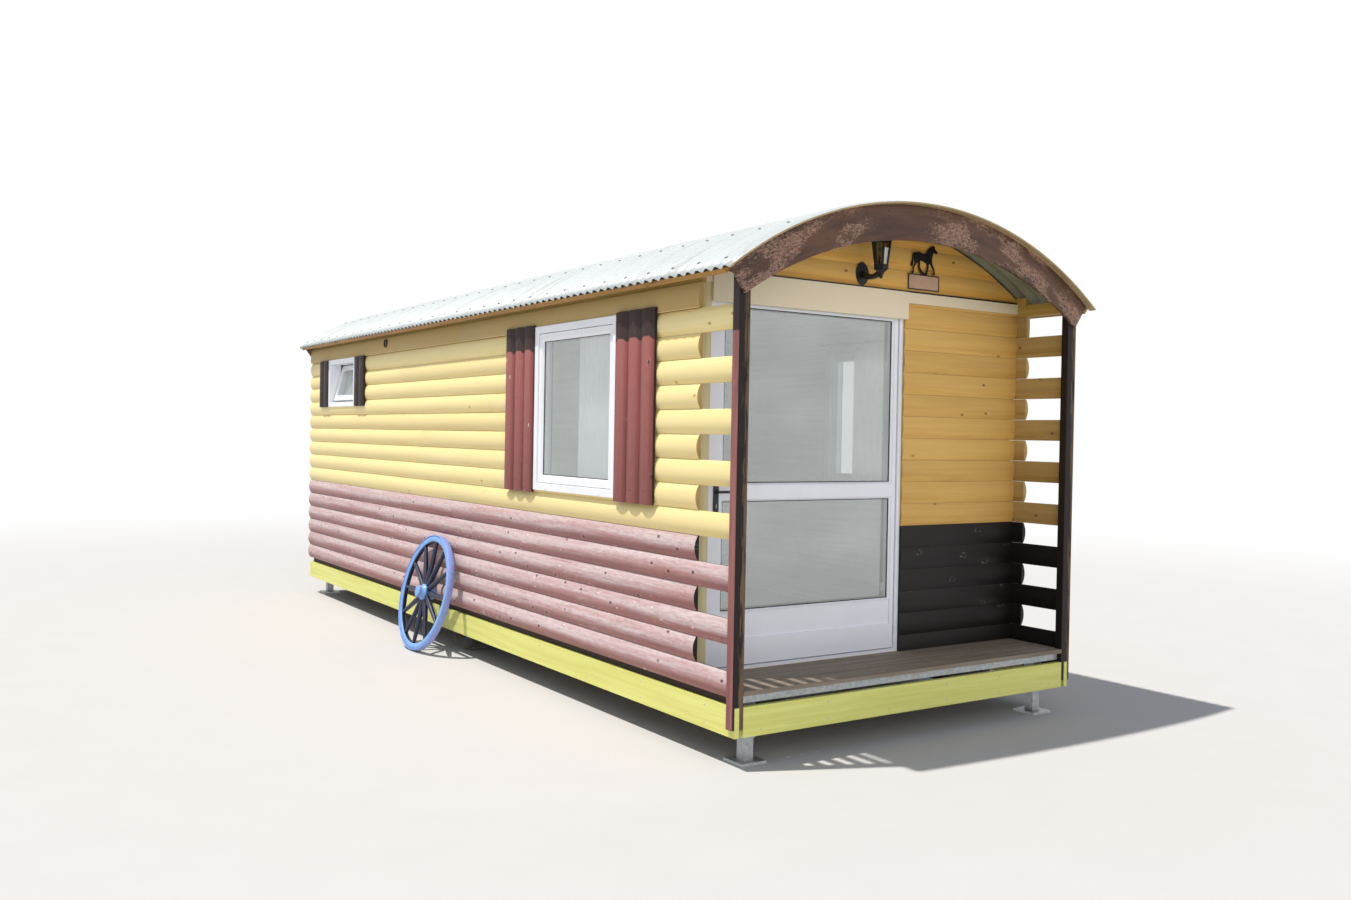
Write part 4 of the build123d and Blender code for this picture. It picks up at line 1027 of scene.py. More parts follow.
# %% Builders for turned, bent and mitred parts
def skin(mesh, rings, whole=False, material=0):
    """Faces between neighbouring rings; a whole skin goes round to the first ring, others get two ends."""
    for number in range(len(rings) if whole else len(rings) - 1):
        first, second = rings[number], rings[(number + 1) % len(rings)]
        for point in range(len(first)):
            after = (point + 1) % len(first)
            corners = [first[point], first[after], second[after], second[point]]
            mesh.faces.new(corners).material_index = material
    if not whole:
        for ring in (rings[0], rings[-1]):
            mesh.faces.new(ring).material_index = material


def turned(mesh, profile, origin, axis, steps=32, side=None, arc=2 * pi, start=0.0, material=0):
    """Turns a closed profile of (distance along the axis, radius) about an axis."""
    axis = Vector(axis).normalized()
    side = (Vector(side) if side else axis.orthogonal()).normalized()
    third = axis.cross(side)
    whole = abs(arc - 2 * pi) < 1e-9
    rings = []
    for step in range(steps if whole else steps + 1):
        turn = start + arc * step / steps
        out = side * cos(turn) + third * sin(turn)
        rings.append([
            mesh.verts.new(Vector(origin) + axis * along + out * radius) for along, radius in profile
        ])
    skin(mesh, rings, whole, material)


def drawn(mesh, path, section, up=(0, 0, 1), taper=None):
    """Draws a closed section of (sideways, upwards) points along a path; taper scales it on the way."""
    path = [Vector(point) for point in path]
    rings = []
    for step, point in enumerate(path):
        heading = (path[min(step + 1, len(path) - 1)] - path[max(step - 1, 0)]).normalized()
        across = heading.cross(Vector(up)).normalized()
        over = across.cross(heading)
        scale = taper(step / (len(path) - 1)) if taper else 1
        rings.append([mesh.verts.new(point + (across * a + over * b) * scale) for a, b in section])
    skin(mesh, rings)


def round_section(radius, sides=10):
    turns = [2 * pi * side / sides for side in range(sides)]
    return [(radius * cos(turn), radius * sin(turn)) for turn in turns]


def chamfered_section(wide, deep, cut):
    """A rectangle with its corners cut off, as eight points."""
    a, b = wide / 2, deep / 2
    return [
        (a, b - cut), (a - cut, b), (cut - a, b), (-a, b - cut),
        (-a, cut - b), (cut - a, -b), (a - cut, -b), (a, cut - b),
    ]


def mitred(mesh, to_world, opening, profile, material=0):
    """Runs a closed profile of (inwards, depth) points round an opening (low a, high a, low b, high b)."""
    corners = ((0, 2, 1, 1), (1, 2, -1, 1), (1, 3, -1, -1), (0, 3, 1, -1))
    rings = [
        [
            mesh.verts.new(to_world(opening[a] + way_a * inwards, depth, opening[b] + way_b * inwards))
            for inwards, depth in profile
        ]
        for a, b, way_a, way_b in corners
    ]
    skin(mesh, rings, True, material)


def box_at(mesh, to_world, a, depth, b, material=0):
    """A plain block between pairs of values along, in depth and in height."""
    points = [mesh.verts.new(to_world(x, y, z)) for x in a for y in depth for z in b]
    for ring in ((0, 1, 3, 2), (4, 6, 7, 5), (0, 4, 5, 1), (2, 3, 7, 6), (0, 2, 6, 4), (1, 5, 7, 3)):
        mesh.faces.new([points[corner] for corner in ring]).material_index = material


print("corners of a small chamfered bar:", chamfered_section(0.02, 0.02, 0.002)[:2])

# %% [markdown]
# A window of this kind is a frame, a sash that stands 8 mm back in it with a bead that slopes to the pane,
# and a black seal. Each of them is one profile run round the opening with mitred corners, so the profiles say
# nearly everything, and two small caps over the drain slots say the rest.

# %% Window frames, beads and seals
soft, face_depth, sash_back = 0.0025, -0.008, 0.060
drain_caps, drain_cap_width, drain_cap_levels = (0.16, -0.19), 0.030, (0.010, 0.021)
frame_member, sash_member, shadow_gap = 0.045, 0.050, 0.0025
pane_line = frame_member + sash_member
frame_section = [
    (0, face_depth + soft), (soft, face_depth), (frame_member - soft, face_depth),
    (frame_member, face_depth + soft), (frame_member, wall_thickness), (0, wall_thickness),
]
sash_section = [
    (frame_member + shadow_gap, soft), (frame_member + shadow_gap + soft, 0), (pane_line - 0.014, 0),
    (pane_line - 0.012, 0.0015), (pane_line - 0.002, 0.0095), (pane_line, 0.0125), (pane_line, sash_back),
    (frame_member + shadow_gap, sash_back),
]
seal_section = [(-0.001, 0.0135), (0.0035, 0.0148), (0.0040, 0.0176), (-0.001, 0.0176)]


def shifted(section, inwards, depth=0.0):
    return [(first + inwards, second + depth) for first, second in section]


opening = hole_of(window_box)
for side, to_world in (("left", left_side), ("right", right_side)):
    mesh = bmesh.new()
    mitred(mesh, to_world, opening, frame_section)
    mitred(mesh, to_world, opening, sash_section)
    mitred(mesh, to_world, opening, shifted(seal_section, pane_line), 1)
    for along in (opening[0] + drain_caps[0], opening[1] + drain_caps[1]):
        box_at(
            mesh, to_world, (along, along + drain_cap_width), (face_depth - 0.002, face_depth),
            [opening[2] + level for level in drain_cap_levels],
        )
    add_piece(
        finished_mesh(mesh, "mitred_window_" + side, 30), (pvc, seal_rubber), ["window_frame_" + side]
    )

# %% [markdown]
# The door has two panes with a rail between them. Each gets the same kind of bead and seal as the windows,
# and these ride on the door, so that they swing with it.

# %% Beads on the door's panes
leaf_box, door_pane_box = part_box("door_leaf"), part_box("door_glass")
door_face = leaf_box[0].y
pane_face = door_pane_box[0].y - door_face
rail_low, rail_high = floor_z + 0.887, floor_z + 0.959
bead_width, bead_back = 0.012, pane_face - 0.0005
bead = [(0, 0.004), (0.002, 0.003), (0.011, 0.0125), (bead_width, bead_back), (0, bead_back)]


def door_plane(along, depth, height):
    return Vector((along, door_face + depth, height))


mesh = bmesh.new()
for low, high in ((door_pane_box[0].z, rail_low), (rail_high, door_pane_box[1].z)):
    opening = (door_pane_box[0].x, door_pane_box[1].x, low, high)
    mitred(mesh, door_plane, opening, bead)
    mitred(mesh, door_plane, opening, shifted(seal_section, bead_width, pane_face - 0.018), 1)
add_piece(finished_mesh(mesh, "door_beads", 30), (pvc, seal_rubber), body="door")

# %% [markdown]
# The lever handle is a plate, a neck and a grip. The plate is a block with softened edges, the neck is
# turned, and the grip is drawn along a bent path with a round section, so that light runs along it. A sliver
# of zinc on the plate is the end of the lock.

# %% The door handle
handle_low, handle_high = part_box("door_handle")
handle_plate = 0.032
plate_middle = handle_low.x + handle_plate / 2
grip_z = rail_low + 0.040
grip_y = handle_low.y + 0.0075


def frame_point(x, y, z):
    return Vector((x, y, z))


mesh = bmesh.new()
box_at(
    mesh, frame_point, (handle_low.x, handle_low.x + handle_plate),
    (handle_high.y - 0.009, handle_high.y), (handle_low.z, handle_high.z),
)
bmesh.ops.bevel(mesh, geom=mesh.edges[:], offset=0.003, segments=2, affect="EDGES", profile=0.5)
turned(
    mesh, [(0, 0), (0, 0.0095), (0.004, 0.0085), (0.028, 0.0075), (0.028, 0)],
    (plate_middle, handle_high.y - 0.0095, grip_z), (0, -1, 0), 20,
)
grip_bends = (
    (plate_middle - 0.008, 0.0005), (plate_middle, 0), (plate_middle + 0.03, 0), (plate_middle + 0.09, 0.001),
    (handle_high.x - 0.001, 0.003),
)
drawn(
    mesh, [frame_point(along, grip_y + back, grip_z) for along, back in grip_bends],
    round_section(0.0072, 12), taper=lambda share: 1 - 0.15 * share,
)
box_at(
    mesh, frame_point, (plate_middle - 0.002, plate_middle + 0.002),
    (handle_high.y - 0.0097, handle_high.y - 0.0092), (grip_z - 0.082, grip_z - 0.064), 1,
)
add_piece(
    finished_mesh(mesh, "lever_handle", 40), (black_plastic, screw_zinc), ["door_handle"],
    "door",
)

# %% [markdown]
# The porch posts were stained like the brown logs. Their outward sides have bleached as the logs did, and
# above a line under the eaves they are painted dark as painted shade. The other faces are nearly black,
# partly the stain and partly painted shade, and have worn along the arris. The colour follows the faces,
# so a post is drawn as a bar with small chamfers and its faces are sorted by their normals. Beside the sill
# board a post is cut away, so each one is drawn in three bars. A pale strip covers the corner left of the
# door.

# %% Porch posts and the corner strip
post_low, post_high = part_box("porch_posts")
post_width, tongue_width, arris = 0.070, 0.018, 0.0035


def post_front_finish():
    """Near black on each post's left, partly painted shade; towards its right edge the stain has gone."""
    material, nodes = new_finish("post_front_in_shade")
    x, y, z = nodes.parts(nodes.own_place())
    grain = nodes.joined(z, x, y)
    streaks, fibres, _ = figure(nodes, grain)
    across = nodes.math("MODULO", x - (centre - half_width), 2 * half_width - post_width)
    cover = nodes.noise(nodes.scaled(grain, (5, 60, 60)), 1, 6, 0.7, 0.4)
    lost = nodes.step(cover + across * 6, 0.74, 0.84)
    wood = nodes.mix(streaks, colour("8E765C"), colour("4A382B"))
    coat = nodes.mix(streaks, colour("1D1311"), colour("120B0A"))
    surface(
        nodes, nodes.mix(lost * 0.85, coat, wood), (1 - lost) * 0.6 + fibres * 0.5, 0.6, 0.0016,
        Roughness=0.55 + lost * 0.3, Specular_IOR_Level=0.3,
    )
    return material


post_front_in_shade = post_front_finish()
strip_thickness = 0.006
mesh = bmesh.new()
for side in (-1, 1):
    for start, end, levels in (
        (0, post_width, (sill_high.z + seat, post_high.z)), (0, tongue_width, (post_low.z, sill_high.z)),
        (log_thickness, post_width, (post_low.z, sill_high.z)),
    ):
        section = chamfered_section(end - start, post_depth, min(arris, (end - start) * 0.2))
        middle_x = side * half_width - side * (start + (end - start) / 2)
        drawn(mesh, [place(middle_x, post_depth / 2, height) for height in levels], section, up=(0, 1, 0))
post_data = finished_mesh(mesh, "bleached_posts", 30)
# Outward faces get the bleached side; all others get the near black, partly painted shade.
for face in post_data.polygons:
    outward = face.normal.x * (1 if face.center.x > centre else -1)
    face.material_index = 0 if outward > 0.6 else 1
add_piece(post_data, (post_side, post_front_in_shade), ["porch_posts"])
mesh = bmesh.new()
box_at(
    mesh, place, (-log_back, door_left), (porch_depth - strip_thickness, porch_depth - seat),
    (clad_low, band_low - 0.0005),
)
add_piece(finished_mesh(mesh, "corner_strip"), (trim_paint,))

# %% [markdown]
# Two thin dark lines finish the front gable: a cord of sealant where its boards meet the curved sheets, and
# a black strip on top of the shutter case that is painted shadow. The first is a small round section drawn
# along the arch.

# %% Dark lines round the gable
cord_radius, cord_arch, line_height = 0.003, roof_radius - 0.005, 0.010
cord_swing = asin((log_back - 2 * cord_radius) / cord_arch)
mesh = bmesh.new()
drawn(
    mesh, [
        place(cord_arch * sin(turn), porch_depth + 0.001, roof_centre + cord_arch * cos(turn))
        for turn in (cord_swing * (step / 24 - 1) for step in range(49))
    ], round_section(cord_radius, 8), up=(0, 1, 0),
)
# A black strip on top of the shutter case is painted shadow.
box_at(
    mesh, place, (-log_back, log_back), (porch_depth - strip_thickness, porch_depth + 0.004),
    (gable_foot, gable_foot + line_height),
)
add_piece(finished_mesh(mesh, "gable_cord_and_shadow_strip", 50), (black_plastic,))

# %% [markdown]
# A thin tan strip caps each end of the roof. It is an angle of sheet bent to the arch, one profile swept
# about the barrel's axis, with a low lip that stands before the first wave of the sheets.

# %% Verge caps
barrel_axis = place(0, 0, roof_centre)
cap_metal, cap_rise, cap_reach = 0.0015, 0.007, 0.0155
under_sheets = roof_radius - 0.0003
mesh = bmesh.new()
for outer, inner in ((roof_low.y - front_y, -cap_reach), (roof_high.y - front_y, rear_length + cap_reach)):
    way = 1 if inner > outer else -1
    section = [
        (outer, roof_radius - cap_metal), (outer, roof_radius + cap_rise),
        (outer + way * cap_metal, roof_radius + cap_rise), (outer + way * cap_metal, under_sheets),
        (inner, under_sheets), (inner, roof_radius - cap_metal),
    ]
    turned(mesh, section, barrel_axis, (0, 1, 0), 64, (0, 0, 1), 2 * roof_angle, -roof_angle)
add_piece(finished_mesh(mesh, "verge_caps", 30), (verge_paint,))

# %% [markdown]
# Screws hold all of this. Every row of them is a list of points with the way each head looks, and one tree
# sets a small blunt cone on each point and turns it that way.

# %% A head on every point
def studs_tree(radius, height, sides, finish):
    tree = Tree("studs", {
        "Spots": ("Geometry", None), "Radius": ("Float", radius), "Height": ("Float", height),
        "Sides": ("Int", sides), "Finish": ("Material", finish),
    })
    head = tree.add("GeometryNodeMeshCone", (), {
        "Vertices": tree.given("Sides"), "Radius Top": tree.given("Radius") * 0.72,
        "Radius Bottom": tree.given("Radius"), "Depth": tree.given("Height"),
    })
    way = tree.add("GeometryNodeInputNamedAttribute", {"data_type": "FLOAT_VECTOR"}, {"Name": "way"})
    turn = tree.add("FunctionNodeAlignRotationToVector", {"axis": "Z"}, {"Vector": way})
    laid = tree.add("GeometryNodeInstanceOnPoints", (), {
        "Points": tree.given("Spots"), "Instance": head, "Rotation": turn,
    })
    real = tree.add("GeometryNodeRealizeInstances", (), {0: laid})
    tree.finish(tree.add("GeometryNodeSetMaterial", (), {0: real, "Material": tree.given("Finish")}))
    return tree


def add_studs(name, spots, size, finish):
    """Heads at (point, way) pairs; size is (radius, height, sides)."""
    seed = bpy.data.meshes.new(name + "_spots")
    seed.from_pydata([point for point, way in spots], [], [])
    ways = seed.attributes.new("way", "FLOAT_VECTOR", "POINT")
    ways.data.foreach_set("vector", [value for point, way in spots for value in way])
    mesh = bmesh.new()
    mesh.from_mesh(grown(name, studs_tree(*size, finish), seed=seed))
    add_piece(finished_mesh(mesh, name, 40), (finish,))


print("screw heads are ready to be set; node groups so far:", len(bpy.data.node_groups))

# %% [markdown]
# The roof screws sit on a rubber washer on the crest of a wave, and the others stand a little proud of the
# board that they hold. Each list is a rule: so many along, so many across, and always the same two heights.

# %% Screws in rows
def from_axis(turn):
    """The way from the barrel's axis at an angle from straight up."""
    return Vector((sin(turn), 0, cos(turn)))


crest = roof_radius + wave_depth + metal
first_wave = roof_low.y - front_y + metal
sill_rows = (sill_low.z + 0.03, sill_high.z - 0.03)
fascia_front = Vector((0, -0.015, 0))
crown = half_width + shutter_seat + shutter_bulge - seat
roof_spots = [
    (place(0, first_wave + (wave + 0.5) * wave_pitch, roof_centre) + from_axis(turn) * crest, from_axis(turn))
    for wave in range(1, wave_count, 3) for turn in [radians(angle) for angle in (-35, -24, -12, 12, 24, 35)]
]
sill_spots = [
    (place(side * (half_width - 0.018), 0.25 + 0.595 * number, height), Vector((side, 0, 0)))
    for side in (-1, 1) for number in range(12) for height in sill_rows
] + [
    (place(along, 0, height), Vector((0, -1, 0)))
    for along in (-1.05, -0.63, -0.21, 0.21, 0.63, 1.05) for height in sill_rows
]
plank_spots = [
    (place(along, depth, floor_z - 0.0003), Vector((0, 0, 1)))
    for along in (-1.14, -0.7, -0.23, 0.23, 0.7, 1.14) for depth in (0.032, 0.104, 0.172, 0.240, 0.308, 0.378)
]
fascia_spots = [
    (barrel_axis + from_axis(radians(4 * number - 32)) * radius + fascia_front, Vector((0, -1, 0)))
    for number in range(17) for radius in (roof_radius - 0.035, roof_radius - 0.120)
]
shutter_spots = [
    (place(side * crown, start + width / 2, height), Vector((side, 0, 0)))
    for name, side, boards, opening, _, _ in shutter_rows
    for start, width in boards_beside(name, opening, boards)
    for height in (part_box(name)[0].z + 0.07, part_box(name)[1].z - 0.07)
]
for name, spots, size, finish, slot in (
    ("roof_washers", roof_spots, (0.0085, 0.0018, 12), seal_rubber, "roof_sheet"),
    ("roof_screws", roof_spots, (0.0050, 0.0048, 6), screw_zinc, "roof_sheet"),
    ("sill_screws", sill_spots, (0.0045, 0.0015, 10), screw_zinc, "galvanised"),
    ("plank_screws", plank_spots, (0.0042, 0.0010, 10), screw_zinc, "galvanised"),
    ("fascia_screws", fascia_spots, (0.0042, 0.0012, 10), black_iron, "black_iron"),
    ("shutter_screws", shutter_spots, (0.0048, 0.0014, 10), rusted_screw, "galvanised"),
):
    add_studs(name, spots, size, finish)

# %% [markdown]
# High on the left wall sits a small round black vent. Its collar and its back plate are turned about the line
# that leaves the wall at a right angle, and a few flat slats lie between them.

# %% The round vent
vent_radius, vent_y, vent_z = 0.034, 4.855, 2.300
vent_mouth, slat_pitch, slat_half = vent_radius - 0.006, 0.0075, 0.0012
collar = [
    (-0.004, vent_mouth), (0.014, vent_mouth), (0.016, vent_radius - 0.003), (0.012, vent_radius),
    (-0.004, vent_radius),
]
back_plate = [(0.002, 0), (0.002, vent_radius - 0.005), (0.004, vent_radius - 0.005), (0.004, 0)]
mesh = bmesh.new()
for profile in (collar, back_plate):
    turned(mesh, profile, place(-half_width + 0.006, vent_y, vent_z), (-1, 0, 0), 28)
for number in range(-3, 4):
    height = number * slat_pitch
    reach_y = sqrt(vent_mouth ** 2 - height ** 2)
    box_at(
        mesh, left_side, (vent_y - reach_y, vent_y + reach_y), (-0.006, 0.003),
        (vent_z + height - slat_half, vent_z + height + slat_half),
    )
add_piece(finished_mesh(mesh, "round_vent", 35), (black_plastic,))

# %% [markdown]
# The road wheels are ordinary trailer wheels. The tyre's section is round at the shoulders and carries
# blocks of tread. The blocks are one small shape, set out in five across the tread and then repeated round
# the wheel, which is a job for instances on a circle of points.

# %% Tyres with their tread
rubber_low, rubber_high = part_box("tyre_left")
tyre_radius = (rubber_high.y - rubber_low.y) / 2
tyre_half = (rubber_high.x - rubber_low.x) / 2
rim_radius, tread_depth, shoulder_width = 0.165, 0.006, 0.022
tread_rows, tread_blocks = 5, 54


def tyre_profile():
    """Half round shoulders from the bead to the tread."""
    shoulder = tyre_half - shoulder_width
    tread = tyre_radius - tread_depth
    middle, wall_half = (rim_radius + tread) / 2, (tread - rim_radius) / 2
    points = [(-shoulder, rim_radius), (shoulder, rim_radius)]
    for step in range(9):
        turn = -0.42 * pi + step * 0.82 * pi / 8
        points.append((shoulder + (tyre_half - shoulder) * cos(turn), middle + wall_half * sin(turn)))
    points.append((shoulder - 0.004, tread))
    return points + [(-along, radius) for along, radius in reversed(points[2:])]


def tread_tree():
    tree = Tree("tread", {
        "Blocks": ("Int", tread_blocks), "Rows": ("Int", tread_rows), "Row Pitch": ("Float", 0.029),
        "Radius": ("Float", tyre_radius - tread_depth), "Block": ("Vector", (0.0245, 0.021, 2 * tread_depth)),
        "Finish": ("Material", tyre_rubber),
    })
    radius, row_pitch = tree.given("Radius"), tree.given("Row Pitch")
    block = tree.add("GeometryNodeMeshCube", (), {"Size": tree.given("Block")})
    ring = tree.add("GeometryNodeMeshLine", (), {
        "Count": tree.given("Blocks"), "Offset": tree.joined(0, 0, 0),
    })
    row = tree.add("GeometryNodeMeshLine", (), {
        "Count": tree.given("Rows"), "Offset": tree.joined(row_pitch, 0, 0),
        "Start Location": tree.joined((tree.given("Rows") - 1) * row_pitch * -0.5, 0, 0),
    })
    across = tree.add("GeometryNodeInstanceOnPoints", (), {"Points": row, "Instance": block})
    one_row = tree.add("GeometryNodeRealizeInstances", (), {0: across})
    turn = tree.add("GeometryNodeInputIndex") * tree.math("DIVIDE", 2 * pi, tree.given("Blocks"))
    spot = tree.joined(0, tree.math("SINE", turn) * radius, tree.math("COSINE", turn) * radius)
    points = tree.add("GeometryNodeSetPosition", (), {"Geometry": ring, "Position": spot})
    laid = tree.add("GeometryNodeInstanceOnPoints", (), {
        "Points": points, "Instance": one_row, "Rotation": tree.joined(turn * -1, 0, 0),
    })
    real = tree.add("GeometryNodeRealizeInstances", (), {0: laid})
    tree.finish(tree.add("GeometryNodeSetMaterial", (), {0: real, "Material": tree.given("Finish")}))
    return tree


tread_mesh = grown("tread", tread_tree())
for side in ("left", "right"):
    low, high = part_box("tyre_" + side)
    middle = (low + high) / 2
    mesh = bmesh.new()
    turned(mesh, tyre_profile(), middle, (1, 0, 0), 96)
    bmesh.ops.recalc_face_normals(mesh, faces=mesh.faces)
    blocks = tread_mesh.copy()
    blocks.transform(Matrix.Translation(middle))
    mesh.from_mesh(blocks)
    add_piece(
        finished_mesh(mesh, "tyre_with_tread_" + side), (tyre_rubber,), ["tyre_" + side],
        "wheel_" + side,
    )

# %% [markdown]
# The wooden cart wheel is only there to be looked at, so it gets real joinery: felloes that meet in six
# joints, an iron band painted blue, tapered spokes and a nave with two hoops. Its axis leans with it, and
# every part is measured along that axis and out from it.

# %% The cart wheel and its paints
cart_low, cart_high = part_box("cart_wheel_rim")
cart_radius = (cart_high.y - cart_low.y) / 2
cart_middle = (cart_low + cart_high) / 2
cart_lean = radians(13)
cart_axis = Vector((cos(cart_lean), 0, -sin(cart_lean)))
cart_up = Vector((sin(cart_lean), 0, cos(cart_lean)))
band_width, band_thickness, felloe_depth, felloe_width = 0.046, 0.006, 0.042, 0.038
felloe_count, spoke_count, nave_half, joint_gap = 6, 12, 0.068, 0.003
light_blue = plain_finish("light_blue_paint", "76A4DE", "4A6C9C", 0.45, 22, 240, 0.42, 0.3, 0.0006)
navy_blue = plain_finish("navy_paint", "0E1634", "26345A", 0.4, 22, 240, 0.4, 0.3, 0.0006)
band_blue = plain_finish("band_blue", "8A9CDC", "6C74A0", 0.45, 30, 240, 0.45, 0.4, 0.0008)


def hoop(mesh, low, high, inner, outer, soft, steps, material=0, arc=2 * pi, start=0.0):
    """A ring with softened corners about the cart wheel's axis."""
    profile = [
        (low, inner + soft), (low + soft, inner), (high - soft, inner), (high, inner + soft),
        (high, outer - soft), (high - soft, outer), (low + soft, outer), (low, outer - soft),
    ]
    turned(mesh, profile, cart_middle, cart_axis, steps, cart_up, arc, start, material)


print(f"the cart wheel is {2 * cart_radius:.2f} m across and leans by 13 degrees")

# %% [markdown]
# The rim is an iron band round six felloes with thin gaps between them. The faces that look along the axis
# are light blue, the ones that look inwards are navy, and the band has its own worn blue.

# %% Felloes and band
mesh = bmesh.new()
band_inside = cart_radius - band_thickness
inner_edge = band_inside - felloe_depth
hoop(mesh, -band_width / 2, band_width / 2, band_inside, cart_radius, 0.0012, 96, 2)
for number in range(felloe_count):
    hoop(
        mesh, -felloe_width / 2, felloe_width / 2, inner_edge, band_inside - 0.0004, 0.005, 16, 0,
        2 * pi / felloe_count - joint_gap, 2 * pi * number / felloe_count + joint_gap / 2 + pi / 12,
    )
rim_data = finished_mesh(mesh, "cart_wheel_felloes", 50)
for face in rim_data.polygons:
    if abs(face.normal.dot(cart_axis)) > 0.5:
        face.material_index = 0
    elif face.material_index == 0:
        face.material_index = 1
add_piece(rim_data, (light_blue, navy_blue, band_blue), ["cart_wheel_rim"])

# %% [markdown]
# The nave is turned, with a hoop near each end. A spoke is a round rod whose girth changes on the way out:
# thick near the nave and slim at the rim. A list of places and a list of girths say that.

# %% Nave and spokes
mesh = bmesh.new()
turned(mesh, [
    (-nave_half, 0.0), (-nave_half, 0.036), (-nave_half + 0.003, 0.040), (-nave_half + 0.022, 0.041),
    (-0.030, 0.052), (-0.024, 0.058), (0.024, 0.058), (0.030, 0.052), (nave_half - 0.022, 0.041),
    (nave_half - 0.003, 0.040), (nave_half, 0.036), (nave_half, 0.0),
], cart_middle, cart_axis, 40, cart_up, material=1)
for low in (-nave_half + 0.006, nave_half - 0.020):
    hoop(mesh, low, low + 0.014, 0.030, 0.0425, 0.001, 40, 2)
spoke_places = [0.045, 0.075, 0.11, 0.2, 0.3, inner_edge - 0.03, inner_edge + 0.001]
spoke_girths = [1.05, 1.0, 1.22, 1.1, 0.95, 0.84, 0.80]
for number in range(spoke_count):
    turn = 2 * pi * number / spoke_count
    outward = cart_up * cos(turn) + cart_axis.cross(cart_up) * sin(turn)
    drawn(
        mesh, [cart_middle + outward * distance for distance in spoke_places], round_section(0.0165, 10),
        cart_axis, lambda share: spoke_girths[round(share * (len(spoke_girths) - 1))],
    )
add_piece(
    finished_mesh(mesh, "cart_wheel_spokes_and_nave", 40), (navy_blue, light_blue, band_blue),
    ["cart_wheel_spokes"],
)

# %% [markdown]
# Net is more holes than thread. One Mix Shader lets the light through, and its factor is the weave: two fine
# sine waves across the cloth's own UV map, with a closer strip at the hem.

# %% The net
curtain_low, curtain_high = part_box("curtains")
curtain_fold, folds, thread_count = 0.009, 13, 5200


def net_finish():
    material, nodes = new_finish("curtain_net")
    u, v, _ = nodes.parts(nodes.add("ShaderNodeUVMap", {"uv_map": "cloth"}))
    warp, weft = (nodes.math("SINE", way * thread_count) * 0.5 + 0.5 for way in (u, v))
    threads = nodes.math("MAXIMUM", warp, weft)
    hem = nodes.step(v, 0.96, 0.97)
    cloud = nodes.noise(nodes.joined(u * 3, v * 3, 0), 1, 3)
    clear = nodes.add("ShaderNodeBsdfTransparent", (), {"Color": white})
    cloth = nodes.add("ShaderNodeBsdfPrincipled", (), {
        "Base Color": nodes.mix(cloud, colour("FBFBFB"), colour("F1F3F6")), "Roughness": 0.85,
        "Sheen Weight": 0.3,
    })
    through = nodes.add("ShaderNodeBsdfTranslucent", (), {"Color": colour("F2F3F4")})
    lit = nodes.add("ShaderNodeMixShader", (), {0: 0.22, 1: cloth, 2: through})
    cover = nodes.math("MINIMUM", 0.76 + threads * 0.18 + hem * 0.2, 1.0)
    mixed = nodes.add("ShaderNodeMixShader", (), {0: cover, 1: clear, 2: lit})
    nodes.add("ShaderNodeOutputMaterial", (), {"Surface": mixed})
    return material


curtain_net = net_finish()
print("net with", thread_count, "as the frequency of its threads")

# %% [markdown]
# A net curtain is a sheet gathered on a rod: wide when it is cut, narrow when it hangs. Its folds are
# tight at the top, where the rod gathers them, and swing wider towards the hem, so the amplitude grows
# with the fall and a second, slower wave keeps the folds from being twins. The flat width is measured
# along the gathered line itself.

# %% Net curtains
fall = curtain_high.z - curtain_low.z - 0.002
across_steps, down_steps = 260, 24
curtain_y = (curtain_low.y + 0.004, curtain_high.y - 0.004)
for side, edge, seed in ((-1, curtain_low.x, 5), (1, curtain_high.x, 6)):
    phase = random.Random(seed).uniform(0, 6)
    middle_x = edge - side * 0.007
    mesh = bmesh.new()
    texture = mesh.loops.layers.uv.new("cloth")
    grid, lengths = [], []
    for row in range(down_steps + 1):
        drop = row / down_steps
        line = []
        for step in range(across_steps + 1):
            share = step / across_steps
            swing = sin(2 * pi * folds * share + phase + 0.5 * sin(5 * share + 2 * drop))
            slow = sin(2 * pi * 2.3 * share + 1.2 * drop + phase)
            depth = curtain_fold * (0.42 + 0.30 * drop) * swing + 0.0018 * slow
            pull = 0.010 * drop * sin(2 * pi * 1.5 * share + phase)
            line.append(Vector((
                middle_x + max(-0.0068, min(0.0068, depth)),
                curtain_y[0] + (curtain_y[1] - curtain_y[0]) * share + pull * share * (1 - share),
                curtain_high.z - 0.001 - fall * drop,
            )))
        grid.append([mesh.verts.new(point) for point in line])
        lengths.append(sum((second - first).length for first, second in zip(line, line[1:])))
    flat_width = sum(lengths) / len(lengths)
    for row in range(down_steps):
        for step in range(across_steps):
            face = mesh.faces.new([
                grid[row][step], grid[row][step + 1], grid[row + 1][step + 1], grid[row + 1][step],
            ])
            shares = ((step, row), (step + 1, row), (step + 1, row + 1), (step, row + 1))
            for loop, (a, b) in zip(face.loops, shares):
                loop[texture].uv = (a / across_steps * flat_width, b / down_steps * fall)
    data = bpy.data.meshes.new("net_curtain_" + ("left" if side < 0 else "right"))
    mesh.to_mesh(data)
    mesh.free()
    data.shade_smooth()
    net = add_piece(data, (curtain_net,), ["curtains"])
    print(f"cut {flat_width:.2f} m wide to hang {curtain_y[1] - curtain_y[0]:.2f} m wide")

# %% [markdown]
# The coach lantern is black cast iron: a wall plate pointed at both ends and slightly domed, a sagging
# arm, a turned drop, and a tapered cage of six bars with a glass in each field. Inside stands a plain
# candle with a bulb. Here are its few sizes, and the six-sided forms that the cage is made of.

